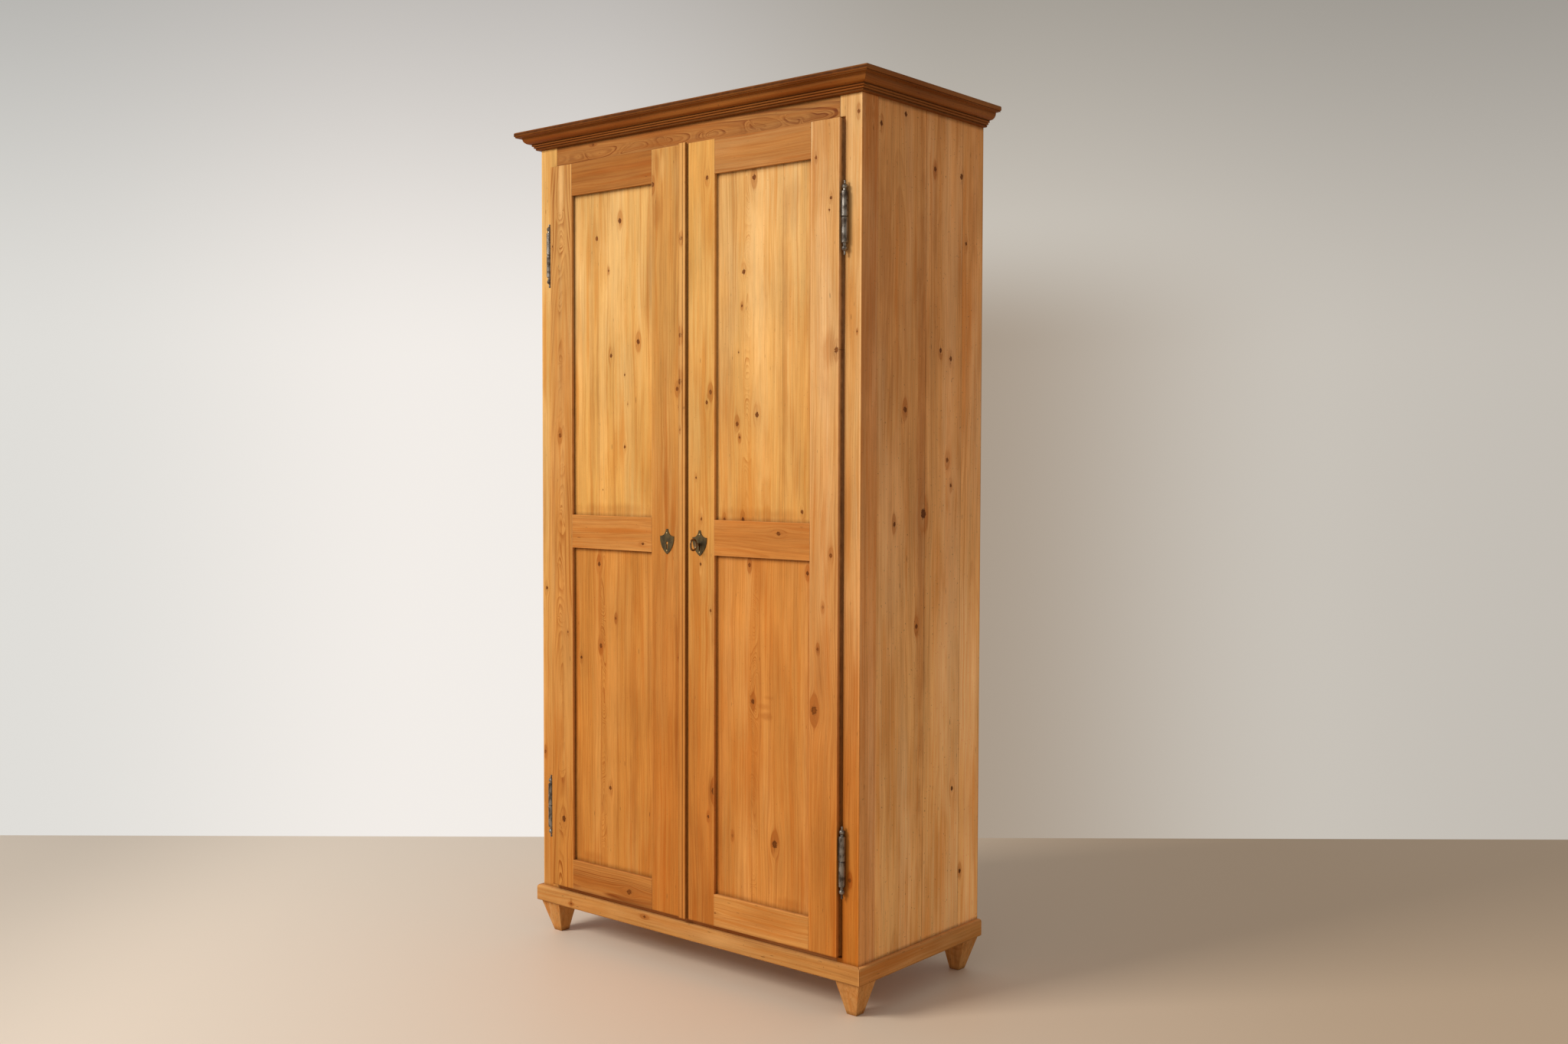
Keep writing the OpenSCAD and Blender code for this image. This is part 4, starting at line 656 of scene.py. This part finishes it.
        flank=(0.4786, (0.684, 0.286, 0.084), (0.866, 0.387, 0.121)),
        knots=[(0.286, 0.456, .005, .85), (1.403, 0.468, .002, .85), (1.841, 0.470, .005, .8)],
        # a worn arris with a painted highlight; painted shade at the opening behind the door and
        # above the plinth
        marks=[("x", POST_ARRIS, .0025, -.75), ("x", OPENING, .002, .3),
               ("z", PLINTH_TOP, .008, .3)]),
    "frieze_rail": dict(
        tone=(0.408, 0.165, 0.037), grain="x", across="z", seed=61.0, pith=(1.850, 0.022),
        slope=0.050, ring=0.0058, face=POST_Y, figure=1.0, deep=0.85, chain=0.02,
        knots=[(-0.300, 1.871, .004, .7)],
        # painted shade under the cornice and a painted shadow line above the doors; dark joints at
        # the posts
        marks=[("z", CORNICE_FOOT, .010, .55), ("z", 1.8335, .0026, .75),
               ("x", -OPENING, .0011, .8), ("x", OPENING, .0011, .8)]),
    "bottom_rail": dict(
        tone=(0.42, 0.150, 0.036), grain="x", across="z", seed=67.0, pith=(0.08, 0.030),
        slope=0.008, ring=0.0036, face=POST_Y, figure=0.6,
        # painted shade under the doors and above the plinth
        marks=[("z", DOOR_FOOT, .006, .5), ("z", PLINTH_TOP, .005, .4)]),
    "right_side_panel": dict(
        tone=(0.788, 0.356, 0.110), low=(0.985, 0.508, 0.170), across="y", seed=71.0,
        pith=(-0.075, 0.040), slope=0.026, ring=0.0050, face=0.459, figure=0.24, deep=0.55,
        span=(0.3, 1.5), grit=0.55, boards=[(0.026, 0.16, 1.03), (0.164, 0.12, 1.12)],
        knots=[(1.859, -0.050, 0.0060, 0.95), (1.827, -0.135, 0.0060, 0.95),
               (1.806, -0.159, 0.0048, 0.95), (1.762, 0.058, 0.0060, 0.95),
               (1.760, 0.159, 0.0072, 0.95), (1.617, 0.179, 0.0048, 0.95),
               (1.364, 0.122, 0.0060, 0.95), (1.380, 0.083, 0.0060, 0.95),
               (1.250, -0.047, 0.0072, 0.95), (1.145, 0.111, 0.0060, 0.95),
               (1.090, 0.126, 0.0048, 0.95), (1.031, 0.022, 0.0120, 0.95),
               (1.012, -0.083, 0.0060, 0.95), (0.793, -0.001, 0.0060, 0.95),
               (0.424, 0.138, 0.0060, 0.95), (0.234, 0.171, 0.0060, 0.95),
               (0.286, -0.177, 0.0060, 0.95)],
        stains=[(1.05, 0.014, 1.05, .024, .62), (0.85, 0.128, .60, .050, -.55),
                (1.50, 0.132, .35, .022, -.40), (0.98, -0.085, .30, .055, -.45),
                (1.55, -0.120, .32, .034, .40), (1.62, 0.060, .25, .016, .40),
                (1.70, 0.205, .18, .025, .40), (1.52, -0.035, .22, .014, -.30),
                (0.50, -0.050, .30, .016, -.25), (0.48, -0.098, .30, .014, .25),
                (1.30, 0.192, .25, .012, .25)],
        # painted shade under the cornice and above the plinth; darker at the back edge
        marks=[("z", CORNICE_FOOT, .010, .5), ("z", PLINTH_TOP, .008, .4),
               ("y", 0.245, .004, .35)]),
    "left_side_panel": dict(
        tone=(0.72, 0.325, 0.115), across="y", seed=79.0, pith=(0.0, 0.040), slope=0.020,
        ring=0.0048, face=-0.459, figure=0.40, grit=0.7,
        boards=[(-0.145, -0.05, 1.0), (0.030, 0.14, 1.05), (0.150, 0.10, 0.96)],
        knots=[(1.70, -0.06, .006, .85), (1.31, 0.11, .007, .9), (1.12, -0.09, .005, .85),
               (0.83, 0.20, .006, .85), (0.55, 0.02, .008, .9), (0.30, -0.10, .005, .85)],
        # painted shade under the cornice and above the plinth; darker at the back edge
        marks=[("z", CORNICE_FOOT, .010, .5), ("z", PLINTH_TOP, .008, .4),
               ("y", 0.245, .004, .35)]),
    "plinth_front": dict(
        tone=(0.530, 0.236, 0.060), grain="x", across="z", seed=83.0, pith=(0.12, 0.030),
        slope=0.010, ring=0.0040, face=-0.211, figure=0.6,
        knots=[(-0.369, 0.086, .003, .8), (-0.123, 0.102, .004, .9)],
        stains=[(-0.369, 0.090, .008, .016, .8), (0.10, 0.093, .05, .02, -.3),
                (-0.22, 0.093, .04, .02, -.25)],
        # worn top arris and corner with a painted highlight; painted shade along the foot
        marks=[("z", PLINTH_TOP, .0030, -.7), ("z", PLINTH_FOOT, .004, .35),
               ("x", 0.4885, .0024, -.6)], grit=0.6),
    "plinth_left": dict(
        tone=(0.52, 0.205, 0.062), grain="y", across="z", seed=87.0, pith=(0.12, 0.030),
        # painted shade along the foot
        slope=0.010, ring=0.0040, face=-0.491, figure=0.6, marks=[("z", PLINTH_FOOT, .005, .35)],
        grit=0.6),
    "plinth_right": dict(
        tone=(0.590, 0.251, 0.063), grain="y", across="z", seed=89.0, pith=(0.06, 0.030),
        slope=0.012, ring=0.0040, face=0.491, figure=0.6,
        # worn top arris with a painted highlight; painted shade along the foot
        marks=[("z", PLINTH_TOP, .0030, -.5), ("z", PLINTH_FOOT, .005, .35)], grit=0.6),
    "cornice_front": dict(
        tone=(0.270, 0.083, 0.012), grain="x", across="z", seed=91.0, pith=(1.93, 0.030),
        slope=0.008, ring=0.0030, face=-0.245, figure=0.5,
        # dark lines at the moulding's steps: painted shade in its quirks and under the fascia
        marks=[("z", 1.9145, .0060, .90), ("z", 1.9085, .0016, .6), ("z", 1.892, .0016, .7),
               ("z", 1.8875, .0012, .5), ("z", 1.881, .004, .6)], grit=0.7),
    "cornice_left": dict(
        tone=(0.235, 0.070, 0.018), grain="y", across="z", seed=93.0, pith=(1.93, 0.030),
        # painted shade at the foot of the moulding
        slope=0.008, ring=0.0030, face=-0.525, figure=0.5, marks=[("z", 1.881, .004, .5)],
        grit=0.7),
    "cornice_right": dict(
        tone=(0.281, 0.096, 0.020), grain="y", across="z", seed=97.0, pith=(1.93, 0.030),
        slope=0.008, ring=0.0030, face=0.525, figure=0.5,
        # painted shade at the moulding's steps and foot
        marks=[("z", 1.9085, .0016, .5), ("z", 1.892, .0016, .6), ("z", 1.881, .004, .5)],
        grit=0.7),
}
FOOT = dict(
    tone=(0.58, 0.270, 0.078), pith=(0.45, 0.050), slope=0.01, ring=0.0036, figure=0.55, grit=0.6,
    # painted shade where the feet stand on the floor and under the plinth
    marks=[("z", 0.0, .012, .45), ("z", PLINTH_FOOT, .006, .4)])
FEET = ("front_left_foot", "front_right_foot", "rear_left_foot", "rear_right_foot")
for number, foot in enumerate(FEET):
    boards[foot] = dict(FOOT, seed=101.0 + 3 * number)

BARE = dict(tone=(0.66, 0.40, 0.19), figure=0.45, grit=0.3)
boards["back_boards"] = dict(
    BARE, tone=(0.50, 0.29, 0.13), seed=121.0, pith=(-0.40, 0.04), slope=0.02, ring=0.0055,
    face=0.231, figure=0.5,
    boards=[(-0.2813, 0.19, 1.06), (-0.0938, 0.18, 0.95), (0.0938, 0.19, 1.05),
            (0.2813, 0.20, 0.96)],
    knots=[(1.6, -0.38, .010, .9), (1.1, -0.20, .012, .9), (0.7, 0.03, .009, .9),
           (1.4, 0.15, .011, .9), (0.4, 0.33, .012, .9), (1.75, 0.40, .008, .9)])
boards["floor_boards"] = dict(
    BARE, grain="x", across="y", seed=127.0, pith=(-0.1, 0.04), slope=0.02, ring=0.005, face=0.116,
    boards=[(-0.0732, 0.1, 1.05), (0.0280, 0.1, 0.96), (0.1293, 0.1, 1.03)],
    knots=[(-0.2, 0.05, .009, .9)])
boards["top_boards"] = dict(
    BARE, tone=(0.42, 0.25, 0.12), grain="x", across="y", seed=131.0, pith=(-0.1, 0.04), slope=0.02,
    ring=0.005, face=1.855, grit=0.9,
    boards=[(-0.0732, 0.1, 1.05), (0.0280, 0.1, 0.96), (0.1293, 0.1, 1.03)],
    knots=[(0.22, -0.12, .009, .9), (-0.3, 0.18, .010, .9)])
boards["hat_shelf"] = dict(
    BARE, grain="x", across="y", seed=137.0, pith=(0.03, 0.03), slope=0.015, ring=0.005, face=1.552,
    boards=[(0.046, 0.1, 1.04)], knots=[(0.15, -0.05, .008, .9), (-0.25, 0.12, .009, .9)])
boards["hanging_rail"] = dict(
    tone=(0.60, 0.33, 0.13), grain="x", across="z", seed=139.0, pith=(1.45, 0.03), slope=0.002,
    ring=0.003, figure=0.45)
BLOCKS = ("cornice_glue_blocks", "rear_foot_blocks", "shelf_bearers", "rail_sockets")
for number, node in enumerate(BLOCKS):
    boards[node] = dict(
        BARE, grain="y" if node == "shelf_bearers" else "z", across="x", seed=149.0 + 5 * number,
        pith=(0.0, 0.03), slope=0.01, ring=0.0045)

EDGE_FACE_SHADE = ("y", -0.202, .0100)     # painted shade on the edge faces of the doors' frames
HINGE_SIDE_SHADE, FRAME_EDGE_SHADE = 0.70, 0.45
FINE_ARRIS, PLAIN_ARRIS = 0.0011, 0.0016   # widths of the softened arrises in metres
for node, finish in boards.items():
    # the edge faces of the doors' stiles and rails get painted shade, deeper on the hinge stiles
    if "door" in node and ("stile" in node or "rail" in node):
        edge_shade = HINGE_SIDE_SHADE if "hinge" in node else FRAME_EDGE_SHADE
        finish["marks"] = [*finish["marks"], (*EDGE_FACE_SHADE, edge_shade)]
    dress(node, pine(f"pine_{node}", **finish))
    fine = any(word in node for word in ("door", "post", "panel"))
    soften(node, FINE_ARRIS if fine else PLAIN_ARRIS)

iron = metal("dark_iron", (0.27, 0.24, 0.205), (0.070, 0.053, 0.040), 0.33, (0.045, 0.020, 0.009),
             0.92)
bronze = metal("old_bronze", (0.120, 0.080, 0.030), (0.060, 0.042, 0.018), 0.42,
               (0.030, 0.022, 0.010), 0.80)
pins = metal("bright_brass", (0.62, 0.46, 0.22), (0.40, 0.28, 0.12), 0.30, (0.20, 0.13, 0.05))
steel = metal("worn_steel", (0.42, 0.39, 0.35), (0.16, 0.14, 0.12), 0.30, (0.10, 0.045, 0.02),
              brush=0.4)
key_steel = metal("key_steel", (0.34, 0.215, 0.110), (0.16, 0.095, 0.045), 0.32, (0.08, 0.04, 0.02),
                  brush=0.3)
SLIDE_BOLTS = ("top_slide_bolt", "bottom_slide_bolt", "slide_bolt_guides")
for node in nodes:
    if node in SLIDE_BOLTS or "hinge" in node and "leaf" in node:
        dress(node, iron)
    elif "escutcheon" in node:
        dress(node, pins if "pins" in node else bronze)
    elif node.startswith("lock") or node == "bolt_keeper":
        dress(node, steel)
    elif node == "key":
        dress(node, key_steel)


# --- stage, light and camera -------------------------------------------------------------

# the camera of the photograph, solved from the wardrobe's edges
YAW, PITCH, ROLL = math.radians(39.85), math.radians(-2.35), math.radians(0.16)
EYE = Vector((2.3709, -2.7062, 1.1484))
PHOTO_WIDTH, FOCAL_PIXELS, SENSOR = 2048, 2035.47, 36.0
# the floor: metres to each side and forward, and back to the photograph's horizon
FLOOR_REACH, FLOOR_END = 6, 1.08
# painted fall-off of the light on the floor: lighter to the left, darker to the right, dimmer far
# to the left
FLOOR_LEFT, FLOOR_RIGHT = (0.88, 0.745, 0.60), (0.715, 0.515, 0.335)
FAR_LEFT_DIM = 0.74
# the backdrop's colours from left to right, painted lighter and darker where the light falls off,
# its painted soft shadow, and the light from all round
WALL_EDGE, WALL_LEFT = (0.74, 0.725, 0.69), (0.892, 0.85, 0.807)
WALL_MIDDLE, WALL_RIGHT = (0.65, 0.60, 0.53), (0.55, 0.515, 0.465)
WALL_SHADOW = (0.60, 0.53, 0.47)
AMBIENT, AMBIENT_POWER = (0.98, 0.99, 1.0), 0.42

floor_mesh = bpy.data.meshes.new("studio_floor")
floor_mesh.from_pydata([(-FLOOR_REACH, -FLOOR_REACH, 0), (FLOOR_REACH, -FLOOR_REACH, 0),
                        (FLOOR_REACH, FLOOR_END, 0), (-FLOOR_REACH, FLOOR_END, 0)],
                       [], [(0, 1, 2, 3)])
floor = bpy.data.objects.new("studio_floor", floor_mesh)
floor.rotation_euler = (0, 0, YAW)
bpy.context.scene.collection.objects.link(floor)
floor_material, net, shader = surface("studio_floor")
x, y, _ = net.axes("Object")
cloud = net.noise(x * 1.5, y * 1.5, 0.0, 3.0)
# the floor's painted light: lighter to the left, darker to the right, dimmer far to the left
pale = net.mix(net.step(x, -1.2, 1.6), FLOOR_LEFT, FLOOR_RIGHT)
dim = FAR_LEFT_DIM + (1 - FAR_LEFT_DIM) * net.step(x, -2.1, -1.2)
net.put(shader.inputs["Base Color"], net.shade(pale, dim))
net.put(shader.inputs["Roughness"], 0.48 + 0.14 * cloud)
floor_mesh.materials.append(floor_material)

world = bpy.data.worlds.new("studio")
bpy.context.scene.world = world
world.use_nodes = True
net = Net(world.node_tree)
back = world.node_tree.nodes["Background"]
# camera, glossy and transmitted rays meet the backdrop, all others the light from all round
rays = net.node("ShaderNodeLightPath")
seen = net.math("MAXIMUM", Wire(net, rays.outputs["Is Camera Ray"]),
                Wire(net, rays.outputs["Is Glossy Ray"]))
seen = net.math("MAXIMUM", seen, Wire(net, rays.outputs["Is Transmission Ray"]))
east, north, height = net.axes("Generated")
across = east * 0.768 + north * 0.641     # along the photograph's width, as YAW says
# painted fall-off of the light: the backdrop is brightest left of the middle and darkens towards
# its edges and upward, with a painted soft shadow beside the wardrobe
rise = net.math("MAXIMUM", height - 0.06, 0.0)
fall = net.math("MAXIMUM", 1.0 / (1.0 + rise * 0.42 + rise * rise * 12.8), 0.35)
wall = net.mix(net.step(across, -0.46, -0.22), WALL_EDGE, WALL_LEFT)
wall = net.mix(net.step(across, -0.14, 0.12), wall, WALL_MIDDLE)
wall = net.mix(net.step(across, 0.10, 0.45), wall, WALL_RIGHT)
shadow = net.step(across, 0.34, 0.10) * net.step(across, 0.02, 0.10) * net.step(height, 0.155, 0.07)
wall = net.shade(net.mix(shadow, wall, WALL_SHADOW, "MULTIPLY"), fall)
net.put(back.inputs["Color"], net.mix(seen, AMBIENT, wall))
net.put(back.inputs["Strength"], AMBIENT_POWER + (1 - AMBIENT_POWER) * seen)

LAMP_AT, LAMP_TOWARD = Vector((-2.6, -5.4, 4.3)), Vector((0.0, -0.2, 1.0))
lamp = bpy.data.lights.new("key_light", "AREA")
lamp.shape = "SQUARE"
lamp.size = 2.6
lamp.energy = 330
lamp.color = (1.0, 0.985, 0.96)
holder = bpy.data.objects.new("key_light", lamp)
holder.location = LAMP_AT
holder.rotation_euler = (LAMP_TOWARD - LAMP_AT).to_track_quat("-Z", "Y").to_euler()
bpy.context.scene.collection.objects.link(holder)

camera_data = bpy.data.cameras.new("camera")
camera_data.sensor_width = SENSOR
camera_data.sensor_fit = "HORIZONTAL"
camera_data.lens = FOCAL_PIXELS / PHOTO_WIDTH * SENSOR
camera = bpy.data.objects.new("camera", camera_data)
camera.matrix_world = (Matrix.Translation(EYE) @ Matrix.Rotation(YAW, 4, "Z")
                       @ Matrix.Rotation(math.pi / 2 + PITCH, 4, "X")
                       @ Matrix.Rotation(ROLL, 4, "Z"))
bpy.context.scene.collection.objects.link(camera)
bpy.context.scene.camera = camera
bpy.context.scene.view_settings.view_transform = "Standard"
